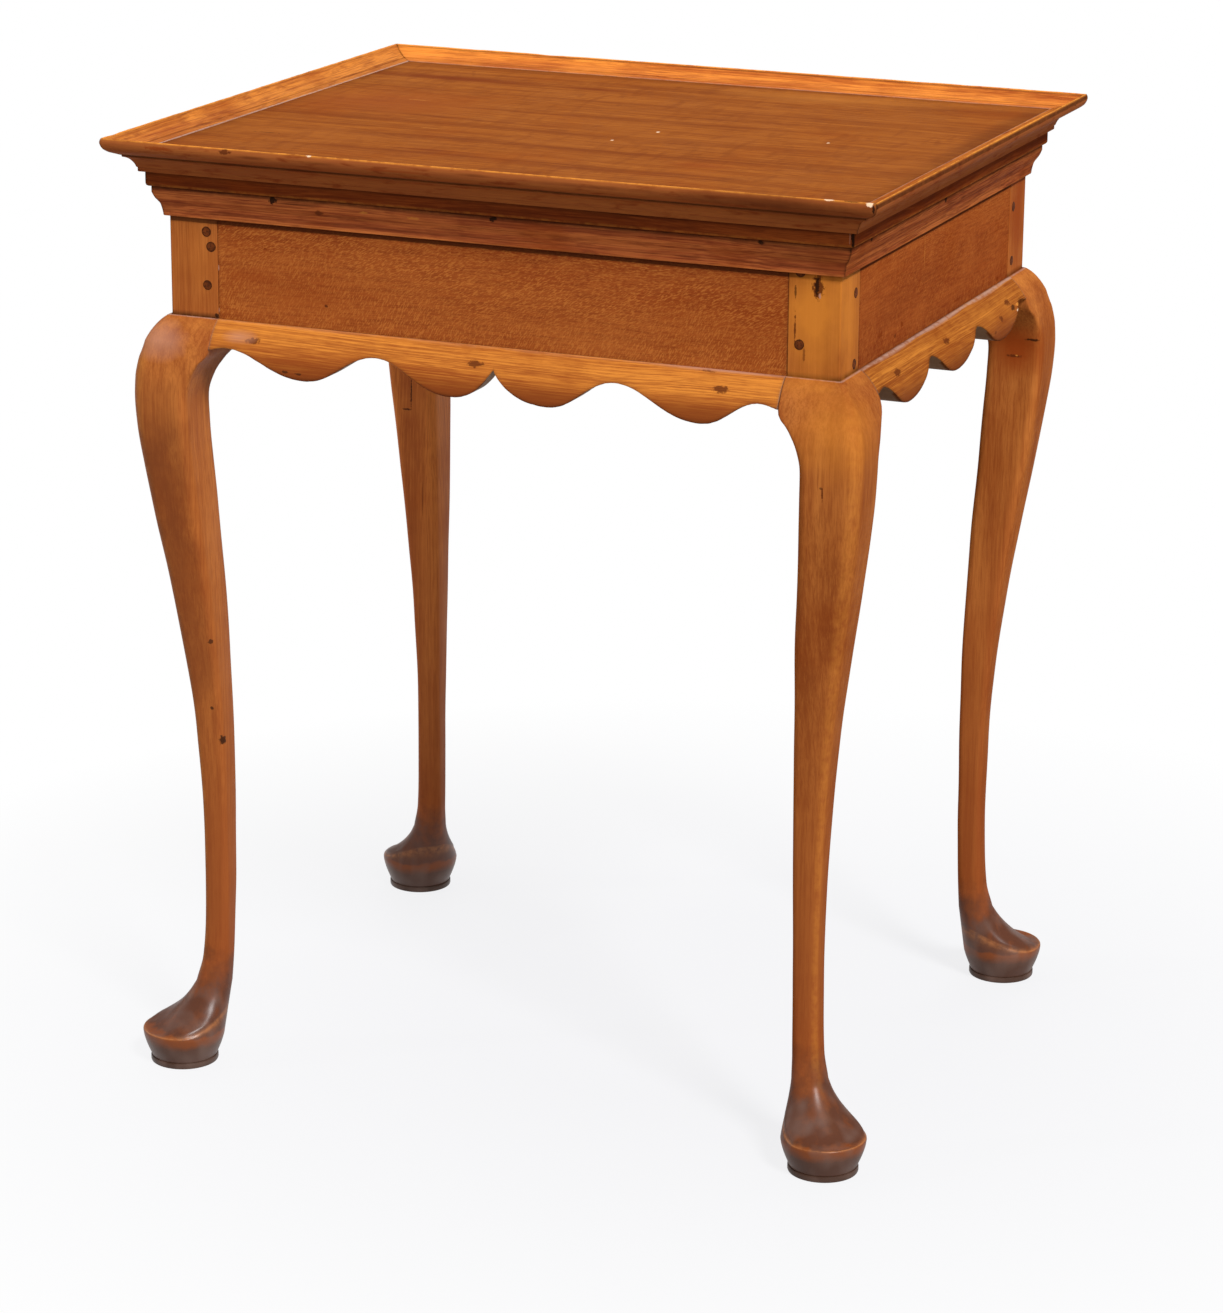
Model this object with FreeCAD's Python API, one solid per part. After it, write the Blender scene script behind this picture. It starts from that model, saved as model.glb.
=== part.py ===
import FreeCAD
import Part
import math
import os

from FreeCAD import Vector

# Tray top tea table: four cabriole legs, tenoned and pinned rails, scalloped skirts and a
# moulded tray.
# Millimetres. Z is up, X runs left to right, the front faces -Y, and the origin is on the
# floor under the middle of the table.

# Frame
table_height = 710.0        # floor to the crest of the tray rim
frame_width = 512.0         # over the posts, left to right
frame_depth = 416.0         # over the posts, front to back
post_size = 38.0
knee_top = 579.0            # height of the seam between post and knee
rail_thickness = 20.0

# Tray
board_thickness = 15.5
board_overhang = 13.5       # edge of the tray board beyond the post faces
rim_rise = 10.0             # crest of the rim above the tray board
rim_width = 22.5            # outward from the edge of the tray board
rim_foot = 0.4              # inner foot of the rim stands this far above the board

# Mouldings under the tray
strip_height = 11.0
strip_setback = 1.0         # face of the edge strip inside the edge of the board
strip_round = 2.5           # lower corner of the edge strip
bed_height = 22.0
bed_depth = 9.5

# Skirts
front_skirt_depth = 35.5    # seam to the lowest point of a lobe, front and back
side_skirt_depth = 34.0     # the same on the short sides
arch_depth = 14.0           # seam to the top of an arch
shoulder_depth = 20.0       # seam to the lower end of the joint between skirt and knee
end_arch_depth = 17.5       # top of the flat arch beside a knee, front and back
end_arch_inset = 13.0       # from the knee to the top of that arch
end_notch = 2.0             # corner beside a knee below the end arch, short sides
skirt_swell = 18.4          # fullest part of the round beyond the post faces

# Legs
knee_swell = 24.1           # fullest part of the knee beyond the post faces
foot_radius = 25.6          # thin disc under the pad
foot_disc = 4.8             # thickness of that disc
pad_radius = 31.0           # rim of the pad
pad_height = 26.0           # floor to the rim of the pad
foot_offset = 2.8           # centre of the foot outside both faces of the post
foot_groove = 2.0           # depth of the groove between disc and pad
foot_edge = 1.0             # bevel on the disc and height of the groove

# Joints and fasteners
tenon_thickness = 8.0
tenon_setback = 8.0         # from the outer face of the post
tenon_gap = 1.0             # from the end of a tenon to the side of its neighbour
tenon_shoulder = 9.0        # above and below the tenon
mortise_clearance = 0.3     # at the end of a tenon
pin_diameter = 7.6
pin_length = 25.0
pin_inset = 8.5             # from the shoulder of the rail
spare_pin_inset = 5.0       # third pin in the front left post
nail_shank = 1.8
nail_head = 4.0
nail_head_thickness = 1.2
nail_length = 24.0
nail_rise = 3.0             # above the foot of the rail
brad_diameter = 1.7
brad_length = 20.0
brad_sink = 0.5             # head of a brad below the face of the moulding
brad_drop = 2.0             # below the edge strip
fastener_clearance = 0.1
glue_block_size = 18.0
glue_block_length = 60.0

# Heights, depths and half sizes that follow
board_top = table_height - rim_rise
board_bottom = board_top - board_thickness
strip_depth = board_overhang - strip_setback
strip_bottom = board_bottom - strip_height
bed_bottom = strip_bottom - bed_height
rail_bottom = knee_top - arch_depth
tenon_bottom = rail_bottom + tenon_shoulder
tenon_top = board_bottom - tenon_shoulder
tenon_length = post_size - tenon_setback - tenon_thickness - tenon_gap
nail_height = rail_bottom + nail_rise
half_width = frame_width / 2
half_depth = frame_depth / 2

# Places along a side, as shares of half the space between its two posts
long_lobes = (-0.650, -0.124, 0.216, 0.741)
long_arches = (-0.397, 0.443)
long_cusp = 0.023
short_lobes = (-0.630, 0.0, 0.630)
short_arches = (-0.315, 0.315)
long_nails = (-0.844, -0.046, 0.803)
short_nails = (-0.718, -0.082, 0.765)
long_brads = (-0.784, 0.0, 0.913)
short_brads = (-0.882, 0.071, 0.882)
long_glue_blocks = (-0.5, 0.5)
short_glue_blocks = (0.0,)
# Heights of the pins as shares of the tenon's height, at the left end and the right end
long_pins = ((0.667, 0.283), (0.768, 0.273))
short_pins = ((0.596, 0.106), (0.566, 0.157))
spare_pin = 0.561

# Round of knees and skirts: (share of the depth down to the shoulder, share of the swell)
round_start = [(0.0, 0.136), (0.15, 0.337), (0.35, 0.533), (0.65, 0.761), (1.0, 0.951)]
# Skirt below the shoulder: (share of the depth that is left, share of the swell)
round_end = [(0.28, 1.0), (0.58, 1.0), (1.0, 0.935)]
skirt_spare = 2.5           # the strip before sawing reaches this far below the lobes
# How far the sawn edge runs level at each point, as a share of the way to the next one
long_pulls = {"lobe": 0.42, "arch": 0.40, "corner": 0.1}
short_pulls = {"lobe": 0.56, "arch": 0.24, "corner": 0.1}
# Run into the cusp: level at the lobe, then shares across and up before the point
cusp_pulls = (0.55, 0.18, 0.42)

# Leg between pad and knee: (share of that height, projection beyond the post as a share
# of the knee's, thickness as a share of the post's)
leg_curve = [
    (0.062, -0.083, 0.682), (0.098, -0.278, 0.568), (0.152, -0.357, 0.534),
    (0.224, -0.394, 0.524), (0.315, -0.378, 0.545), (0.423, -0.261, 0.624),
    (0.532, -0.025, 0.742), (0.640, 0.303, 0.903), (0.731, 0.614, 1.026),
    (0.803, 0.838, 1.113), (0.857, 0.967, 1.161), (0.893, 1.000, 1.174),
    (0.920, 0.975, 1.242), (0.944, 0.888, 1.363),
]
# Flare from the rim of the pad to the ankle: (share of the height, share of the way)
foot_flare = [(0.0, 0.98), (0.007, 0.82), (0.016, 0.61), (0.027, 0.405), (0.043, 0.185)]
# Corner rounding as a share of half the thickness: (share of the height, outer, others)
leg_rounding = [
    (0.0, 0.96, 0.96), (0.062, 0.90, 0.90), (0.152, 0.66, 0.62), (0.315, 0.48, 0.44),
    (0.532, 0.42, 0.36), (0.731, 0.40, 0.34), (0.893, 0.42, 0.28), (0.944, 0.36, 0.10),
    (0.964, 0.28, 0.03), (1.0, 0.12, 0.03),
]
# Sections of the knee above its shoulder, as shares of that depth
knee_sections = (1.0, 0.825, 0.65, 0.5, 0.35, 0.25, 0.15, 0.075, 0.0)

# Outer edge of the tray rim, as shares of its width and height from the top of its foot
rim_nose = ((0.90, 0.03), (0.955, 0.0), (1.0, 0.13), (0.93, 0.30), (0.79, 0.405))
rim_bevel = ((0.53, 0.50), (0.48, 0.505), (0.48, 0.56))
rim_cove = ((0.28, 0.66), (0.14, 0.88))
rim_fillet = 0.11
rim_hollow = (0.5, 0.26)    # middle of the hollow inside: share outward, share of the rise
# Ogee of the bed moulding, as shares of its depth and height from its top
bed_ogee = ((1.0, 0.19), (0.82, 0.39), (0.53, 0.59), (0.40, 0.80), (0.35, 0.95))

sides = {
    "front": (0, half_width, half_depth), "right": (90, half_depth, half_width),
    "back": (180, half_width, half_depth), "left": (270, half_depth, half_width),
}
corners = {"back_right": (0, 1, 1), "back_left": (90, -1, 1),
           "front_left": (180, -1, -1), "front_right": (270, 1, -1)}


def smooth(points, x, column=1):
    """Monotone cubic curve through the points, read at x."""
    xs = [p[0] for p in points]
    ys = [p[column] for p in points]
    gaps = [b - a for a, b in zip(xs, xs[1:])]
    slopes = [(b - a) / g for a, b, g in zip(ys, ys[1:], gaps)]
    tangents = [slopes[0]]
    for before, after in zip(slopes, slopes[1:]):
        same_way = before * after > 0
        tangents.append(2 * before * after / (before + after) if same_way else 0.0)
    tangents.append(slopes[-1])
    x = min(max(x, xs[0]), xs[-1])
    i = max(k for k in range(len(gaps)) if xs[k] <= x)
    t = (x - xs[i]) / gaps[i]
    bend = gaps[i] * (tangents[i] * t * (1 - t) ** 2 - tangents[i + 1] * t * t * (1 - t))
    return ys[i] + (ys[i + 1] - ys[i]) * t * t * (3 - 2 * t) + bend


def box(x0, x1, y0, y1, z0, z1):
    """Box between two corners."""
    return Part.makeBox(x1 - x0, y1 - y0, z1 - z0, Vector(x0, y0, z0))


def line(a, b):
    return Part.LineSegment(a, b).toShape()


def arc(a, b, c):
    return Part.Arc(a, b, c).toShape()


def curve(points):
    """Smooth edge through the points."""
    spline = Part.BSplineCurve()
    spline.interpolate(points)
    return spline.toShape()


def rod(x, y0, y1, z, radius):
    """Round rod along Y."""
    return Part.makeCylinder(radius, y1 - y0, Vector(x, y0, z), Vector(0, 1, 0))


def turned(shape, angle):
    """Copy turned about the middle of the table."""
    return shape.rotated(Vector(0, 0, 0), Vector(0, 0, 1), angle)


# Everything from here to the legs is made along X, facing -Y, and then turned to its side.
# half_length is half of the frame along that side, and reach is the distance from the
# middle of the table to the post faces there.

def at_shares(shares, half_length):
    """Places along a side from their shares of half the space between its posts."""
    return [share * (half_length - post_size) for share in shares]


def round_of_skirt():
    """Section of a skirt's face: (drop below the seam, projection beyond the posts)."""
    low = max(front_skirt_depth, side_skirt_depth) + skirt_spare
    section = [(share * shoulder_depth, out * skirt_swell) for share, out in round_start]
    return section + [(shoulder_depth + share * (low - shoulder_depth), out * skirt_swell)
                      for share, out in round_end]


def tenons(half_length, reach, longer=0.0):
    """One bar that stands for the tenons at both ends of a rail."""
    end = half_length - post_size + tenon_length + longer
    face = -reach + tenon_setback
    return box(-end, end, face, face + tenon_thickness, tenon_bottom, tenon_top)


def rail(half_length, reach):
    """Rail with a tenon at each end, flush with the post faces."""
    end = half_length - post_size
    body = box(-end, end, -reach, -reach + rail_thickness, rail_bottom, board_bottom)
    return body.fuse(tenons(half_length, reach)).removeSplitter()


def flank(start, end, start_pull, end_pull):
    """Edge that leaves start and meets end level, each pull a share of the way across."""
    across = end.x - start.x
    poles = [start, start + Vector(start_pull * across, 0, 0),
             end - Vector(end_pull * across, 0, 0), end]
    bezier = Part.BezierCurve()
    bezier.setPoles(poles)
    return bezier.toShape()


def cusp_flank(lobe, cusp):
    """Edge that leaves a lobe level and runs steeply up into the cusp."""
    level, near, steep = cusp_pulls
    across, rise = cusp.x - lobe.x, cusp.z - lobe.z
    bezier = Part.BezierCurve()
    bezier.setPoles([lobe, lobe + Vector(level * across, 0, 0),
                     cusp - Vector(near * across, 0, steep * rise), cusp])
    return bezier.toShape()


def skirt_edge(points, pulls):
    """Sawn lower edge through its (kind, x, depth) points."""
    edges = []
    places = [(kind, Vector(x, 0, knee_top - depth))
              for kind, x, depth in sorted(points, key=lambda p: p[1])]
    for (kind, here), (next_kind, there) in zip(places, places[1:]):
        if next_kind == "cusp":
            edges.append(cusp_flank(here, there))
        elif kind == "cusp":
            edges.append(cusp_flank(there, here))
        else:
            edges.append(flank(here, there, pulls[kind], pulls[next_kind]))
    return edges


def long_skirt_edge(half_length):
    """Four lobes with a sharp cusp between the inner two."""
    end = half_length - post_size
    points = [("lobe", x, front_skirt_depth) for x in at_shares(long_lobes, half_length)]
    points += [("arch", x, arch_depth) for x in at_shares(long_arches, half_length)]
    points += [("cusp", long_cusp * end, arch_depth)]
    end_arches = (end_arch_inset - end, end - end_arch_inset)
    points += [("arch", x, end_arch_depth) for x in end_arches]
    points += [("corner", x, shoulder_depth) for x in (-end, end)]
    return skirt_edge(points, long_pulls)


def short_skirt_edge(half_length):
    """Three broad lobes with narrow arches between them."""
    end = half_length - post_size
    points = [("lobe", x, side_skirt_depth) for x in at_shares(short_lobes, half_length)]
    arches = at_shares(short_arches, half_length)
    arches += [end_arch_inset - end, end - end_arch_inset]
    points += [("arch", x, arch_depth) for x in arches]
    points += [("corner", x, arch_depth + end_notch) for x in (-end, end)]
    return skirt_edge(points, short_pulls)


def skirt(half_length, reach, lower_edge):
    """Convex strip planted on the foot of the rail, its lower edge sawn in scallops."""
    end = half_length - post_size
    face = [Vector(-end, -reach - out, knee_top - drop) for drop, out in round_of_skirt()]
    top = Vector(-end, -reach, knee_top)
    bottom = Vector(-end, -reach, face[-1].z)
    section = Part.Wire([line(top, face[0]), curve(face), line(face[-1], bottom),
                         line(bottom, top)])
    strip = Part.Face(section).extrude(Vector(2 * end, 0, 0))
    edges = lower_edge(half_length)
    above = knee_top + arch_depth
    left, right = Vector(-end, 0, above), Vector(end, 0, above)
    outline = Part.Wire(edges + [line(edges[-1].Vertexes[-1].Point, right),
                                 line(right, left), line(left, edges[0].Vertexes[0].Point)])
    sawn = Part.Face(outline)
    sawn.translate(Vector(0, -reach - 2 * post_size, 0))
    return strip.common(sawn.extrude(Vector(0, 3 * post_size, 0)))


def mitred(section_edges, half_length, reach):
    """Moulding along one side, cut at 45 degrees on the lines through the post corners."""
    spare = rim_width + board_overhang + post_size
    section = Part.Face(Part.Wire(section_edges))
    section.translate(Vector(-half_length - spare, 0, 0))
    bar = section.extrude(Vector(2 * (half_length + spare), 0, 0))
    plan = []
    for out, way in ((spare, -1), (spare, 1), (-post_size, 1), (-post_size, -1)):
        plan.append(Vector(way * (half_length + out), -reach - out, bed_bottom - post_size))
    sector = Part.Face(Part.makePolygon(plan + plan[:1]))
    return bar.common(sector.extrude(Vector(0, 0, table_height)))


def rim_moulding(half_length, reach):
    """Tray rim: a nose, a bevel and a cove outside, a hollow running down to the board."""
    foot = board_top + rim_foot
    height = table_height - board_bottom

    def at(out, down):
        return Vector(0, -reach - board_overhang - out * rim_width,
                      table_height - down * height)

    inside = Vector(0, -reach - board_overhang, foot)
    middle = Vector(0, inside.y - rim_hollow[0] * rim_width,
                    foot + rim_hollow[1] * (table_height - foot))
    nose = [at(*p) for p in rim_nose]
    bevel = [at(*p) for p in rim_bevel]
    cove = [at(*p) for p in rim_cove]
    fillet, under = at(rim_fillet, rim_cove[1][1]), at(rim_fillet, 1.0)
    back = at(0, 1.0)
    return mitred([arc(inside, middle, nose[0]), curve(nose), line(nose[-1], bevel[0]),
                   line(bevel[0], bevel[1]), line(bevel[1], bevel[2]),
                   arc(bevel[2], cove[0], cove[1]), line(cove[1], fillet),
                   line(fillet, under), line(under, back), line(back, inside)],
                  half_length, reach)


def edge_strip(half_length, reach):
    """Flat strip under the tray board with a rounded lower corner."""
    slack = strip_round * (1 - math.sqrt(0.5))
    face = -reach - strip_depth
    top_in, top_out = Vector(0, -reach, board_bottom), Vector(0, face, board_bottom)
    start = Vector(0, face, strip_bottom + strip_round)
    middle = Vector(0, face + slack, strip_bottom + slack)
    end = Vector(0, face + strip_round, strip_bottom)
    low_in = Vector(0, -reach, strip_bottom)
    return mitred([line(top_in, top_out), line(top_out, start), arc(start, middle, end),
                   line(end, low_in), line(low_in, top_in)], half_length, reach)


def bed_moulding(half_length, reach):
    """Ogee under the edge strip, planted on the rail and the posts."""
    ogee = [Vector(0, -reach - out * bed_depth, strip_bottom - down * bed_height)
            for out, down in bed_ogee]
    top_in = Vector(0, -reach, strip_bottom)
    top_out = Vector(0, ogee[0].y, strip_bottom)
    low_out = Vector(0, ogee[-1].y, bed_bottom)
    low_in = Vector(0, -reach, bed_bottom)
    return mitred([line(top_in, top_out), line(top_out, ogee[0]), curve(ogee),
                   line(ogee[-1], low_out), line(low_out, low_in), line(low_in, top_in)],
                  half_length, reach)


def pin(x, share, reach):
    """Wooden pin through a tenon, its height a share of the tenon's, flush with the post."""
    height = tenon_bottom + share * (tenon_top - tenon_bottom)
    return rod(x, -reach, -reach + pin_length, height, pin_diameter / 2)


def rail_pins(half_length, reach, shares):
    """Two pins through the tenon at each end of a rail."""
    place = half_length - post_size + pin_inset
    return [pin(way * place, share, reach)
            for way, pair in zip((-1, 1), shares) for share in pair]


def nail_face(reach):
    """Where the head of a skirt nail lies: sunk until its upper edge is flush."""
    return -reach - smooth(round_of_skirt(), knee_top - nail_height - nail_head / 2)


def nails(places, reach):
    """Cut nails with round heads through the skirt into the rail."""
    front, half = nail_face(reach), nail_shank / 2
    shank = front + nail_head_thickness
    return [rod(x, front, shank, nail_height, nail_head / 2).fuse(
        box(x - half, x + half, shank, front + nail_length,
            nail_height - half, nail_height + half)) for x in places]


def nail_pockets(places, reach):
    """Round pocket in the skirt for each nail head."""
    front = nail_face(reach)
    return [rod(x, front - post_size, front + nail_head_thickness, nail_height,
                nail_head / 2 + fastener_clearance) for x in places]


def brads(places, reach, sink):
    """Thin headless nails through the bed moulding into the rail."""
    front = -reach - bed_depth
    return [rod(x, front + sink, front + brad_sink + brad_length,
                strip_bottom - brad_drop, brad_diameter / 2) for x in places]


def glue_blocks(places, reach):
    """Three-cornered blocks between the inside of the rail and the tray board."""
    y, z, half = -reach + rail_thickness, board_bottom, glue_block_length / 2
    blocks = []
    for x in places:
        corner = [Vector(x - half, y, z), Vector(x - half, y + glue_block_size, z),
                  Vector(x - half, y, z - glue_block_size)]
        face = Part.Face(Part.makePolygon(corner + corner[:1]))
        blocks.append(face.extrude(Vector(glue_block_length, 0, 0)))
    return blocks


def side_pieces(side):
    """Pieces of one side, turned into place, and what is cut out of the legs there."""
    angle, half_length, reach = sides[side]
    long = side in ("front", "back")
    pins = rail_pins(half_length, reach, long_pins if long else short_pins)
    if side == "front":
        pins.append(pin(-half_length + post_size - spare_pin_inset, spare_pin, reach))
    nail_places = at_shares(long_nails if long else short_nails, half_length)
    brad_places = at_shares(long_brads if long else short_brads, half_length)
    block_places = at_shares(long_glue_blocks if long else short_glue_blocks, half_length)
    nailed = nails(nail_places, reach)
    drilled = brads(brad_places, reach, 0.0)
    sawn = skirt(half_length, reach, long_skirt_edge if long else short_skirt_edge)
    pieces = {
        "rail": rail(half_length, reach).cut(pins + nailed + drilled),
        "skirt": sawn.cut(nailed + nail_pockets(nail_places, reach)),
        "bed_moulding": bed_moulding(half_length, reach).cut(drilled),
        "edge_strip": edge_strip(half_length, reach),
        "rim_moulding": rim_moulding(half_length, reach),
        "rail_pins": Part.makeCompound(pins),
        "skirt_nails": Part.makeCompound(nailed),
        "bed_moulding_brads": Part.makeCompound(brads(brad_places, reach, brad_sink)),
        "glue_blocks": Part.makeCompound(glue_blocks(block_places, reach)),
    }
    leg_cuts = [tenons(half_length, reach, mortise_clearance)] + pins + drilled
    return ({name: turned(piece, angle) for name, piece in pieces.items()},
            [turned(cut, angle) for cut in leg_cuts])


# A leg is made for the back right corner. Its outer post corner is at X 0, Y 0, and both
# of its outer faces look outward along X and Y, so turning it makes the other three.

def leg_section(z, outer, inner, outer_round, other_round):
    """Square with rounded corners between inner and outer on both axes."""
    half = (outer - inner) / 2
    wide, tight = outer_round * half, other_round * half
    points = []
    for x, y, radius, start in ((outer, outer, wide, 0), (inner, outer, tight, 90),
                                (inner, inner, tight, 180), (outer, inner, tight, 270)):
        centre = Vector(x - math.copysign(radius, x - outer + half),
                        y - math.copysign(radius, y - outer + half), z)
        for turn in (0, 45, 90):
            angle = math.radians(start + turn)
            points.append(centre + Vector(radius * math.cos(angle),
                                          radius * math.sin(angle), 0))
    edges = []
    for i in range(0, 12, 3):
        edges.append(arc(points[i], points[i + 1], points[i + 2]))
        edges.append(line(points[i + 2], points[(i + 3) % 12]))
    return Part.Wire(edges)


def cabriole():
    """Leg from the rim of the pad to the seam at the knee."""
    span = knee_top - pad_height
    shoulder = shoulder_depth / span
    rim_out, rim_across = foot_offset + pad_radius, 2 * pad_radius
    curve_points = [(share, out * knee_swell, thick * post_size)
                    for share, out, thick in leg_curve]
    ankle_out, ankle_across = curve_points[0][1:]
    flare = [(share, ankle_out + way * (rim_out - ankle_out),
              ankle_across + way * (rim_across - ankle_across))
             for share, way in foot_flare]
    stations = [(share, out, out - thick) for share, out, thick in flare + curve_points]
    stations += [(1 - depth * shoulder, skirt_swell * smooth(round_start, depth), -post_size)
                 for depth in knee_sections]
    return Part.makeLoft(
        [leg_section(pad_height + share * span, outer, inner,
                     smooth(leg_rounding, share), smooth(leg_rounding, share, 2))
         for share, outer, inner in stations], True, False)


def pad_foot():
    """Thin disc, a groove, and a pad whose side swells up to its rim."""
    groove = foot_radius - foot_groove
    neck_height = foot_disc + foot_edge
    low = [Vector(0, 0, 0), Vector(foot_radius - foot_edge, 0, 0),
           Vector(foot_radius, 0, foot_edge), Vector(foot_radius, 0, foot_disc - foot_edge),
           Vector(groove, 0, foot_disc), Vector(groove, 0, neck_height)]
    waist = Vector((groove + pad_radius) / 2 + foot_edge, 0, (foot_disc + pad_height) / 2)
    rim = [Vector(pad_radius, 0, pad_height - 3 * foot_edge),
           Vector(pad_radius, 0, pad_height - foot_edge / 2),
           Vector(pad_radius - foot_edge / 2, 0, pad_height), Vector(0, 0, pad_height)]
    edges = [line(a, b) for a, b in zip(low, low[1:])]
    edges.append(arc(low[-1], waist, rim[0]))
    edges += [line(a, b) for a, b in zip(rim, rim[1:] + low[:1])]
    pad = Part.Face(Part.Wire(edges)).revolve(Vector(0, 0, 0), Vector(0, 0, 1), 360)
    pad.translate(Vector(foot_offset, foot_offset, 0))
    return pad


def leg():
    """Post, cabriole and pad foot carved as one piece."""
    post = box(-post_size, 0, -post_size, 0, knee_top, board_bottom)
    return cabriole().fuse([post, pad_foot()]).removeSplitter()


def tray_board():
    """Single board that the rim surrounds."""
    x, y = half_width + board_overhang, half_depth + board_overhang
    return box(-x, x, -y, y, board_bottom, board_top)


def build():
    """Every piece of the table by name."""
    pieces = {"tray_board": tray_board()}
    cuts = []
    for side in sides:
        made, leg_cuts = side_pieces(side)
        cuts.append(leg_cuts)
        pieces.update({name + "_" + side: piece for name, piece in made.items()})
    whole_leg = leg()
    for corner, (angle, x_way, y_way) in corners.items():
        placed = turned(whole_leg, angle)
        placed.translate(Vector(x_way * half_width, y_way * half_depth, 0))
        for leg_cuts in cuts:
            placed = placed.cut(leg_cuts)
        pieces["leg_" + corner] = placed
    return pieces


os.makedirs("parts", exist_ok=True)
for name, shape in build().items():
    solids = shape.Solids
    shape = solids[0] if len(solids) == 1 else Part.makeCompound(solids)
    shape.exportStep("parts/" + name + ".step")
    print(name, len(solids), "valid" if shape.isValid() else "NOT VALID",
          round(shape.Volume / 1000, 1), "cm3")
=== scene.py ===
import math

import bmesh
import bpy
import numpy as np
from mathutils import Matrix, Vector, noise


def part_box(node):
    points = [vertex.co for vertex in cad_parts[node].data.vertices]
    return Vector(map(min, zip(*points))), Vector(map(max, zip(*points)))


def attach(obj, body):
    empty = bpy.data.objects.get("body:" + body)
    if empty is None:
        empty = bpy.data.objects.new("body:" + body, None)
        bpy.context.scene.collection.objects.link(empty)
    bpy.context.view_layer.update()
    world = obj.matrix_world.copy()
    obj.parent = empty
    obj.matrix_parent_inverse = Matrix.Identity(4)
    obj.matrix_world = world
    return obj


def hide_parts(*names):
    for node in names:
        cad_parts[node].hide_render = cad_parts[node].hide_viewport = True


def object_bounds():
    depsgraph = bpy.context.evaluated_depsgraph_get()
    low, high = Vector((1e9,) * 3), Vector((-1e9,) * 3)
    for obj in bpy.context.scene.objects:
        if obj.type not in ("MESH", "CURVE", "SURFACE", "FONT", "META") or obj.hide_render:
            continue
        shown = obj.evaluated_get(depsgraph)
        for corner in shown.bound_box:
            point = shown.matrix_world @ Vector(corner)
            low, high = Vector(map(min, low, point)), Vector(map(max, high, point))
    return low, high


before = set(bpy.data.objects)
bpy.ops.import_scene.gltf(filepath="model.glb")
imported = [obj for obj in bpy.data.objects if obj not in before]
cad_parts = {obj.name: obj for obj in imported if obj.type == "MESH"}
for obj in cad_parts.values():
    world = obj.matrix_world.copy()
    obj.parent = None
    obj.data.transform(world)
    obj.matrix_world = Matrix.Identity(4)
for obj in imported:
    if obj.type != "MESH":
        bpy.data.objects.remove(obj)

# Metres. X runs left to right, the front of the table faces -Y, Z is up.
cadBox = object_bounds()
mm = 0.001


def lowEnd(node, axis):
    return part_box(node)[0][axis]


def highEnd(node, axis):
    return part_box(node)[1][axis]


# Sizes that every piece shares, read from the frame
faceX = lowEnd("bed_moulding_right", 0)         # outer faces of the posts
faceY = -highEnd("bed_moulding_front", 1)
postSize = faceX - highEnd("skirt_front", 0)
seam = highEnd("skirt_front", 2)                # top of knees and skirts
railFoot = lowEnd("rail_front", 2)
boardLow, boardHigh = lowEnd("tray_board", 2), highEnd("tray_board", 2)
overhang = highEnd("tray_board", 0) - faceX
crest = highEnd("rim_moulding_front", 2)
bedFoot = lowEnd("bed_moulding_front", 2)

sides = {"front": 0, "right": 90, "back": 180, "left": 270}
corners = {"back_right": (0, 1, 1), "back_left": (90, -1, 1),
           "front_left": (180, -1, -1), "front_right": (270, 1, -1)}


def runOf(side):
    # half of the frame along this side, and the distance out to its post faces
    return (faceX, faceY) if side in ("front", "back") else (faceY, faceX)


def bySide(look, key, side):
    # a look's lists are in the order of the sides, and 1 where it has none
    return look.get(key, (1.0,) * 4)[list(sides).index(side)]


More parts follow.
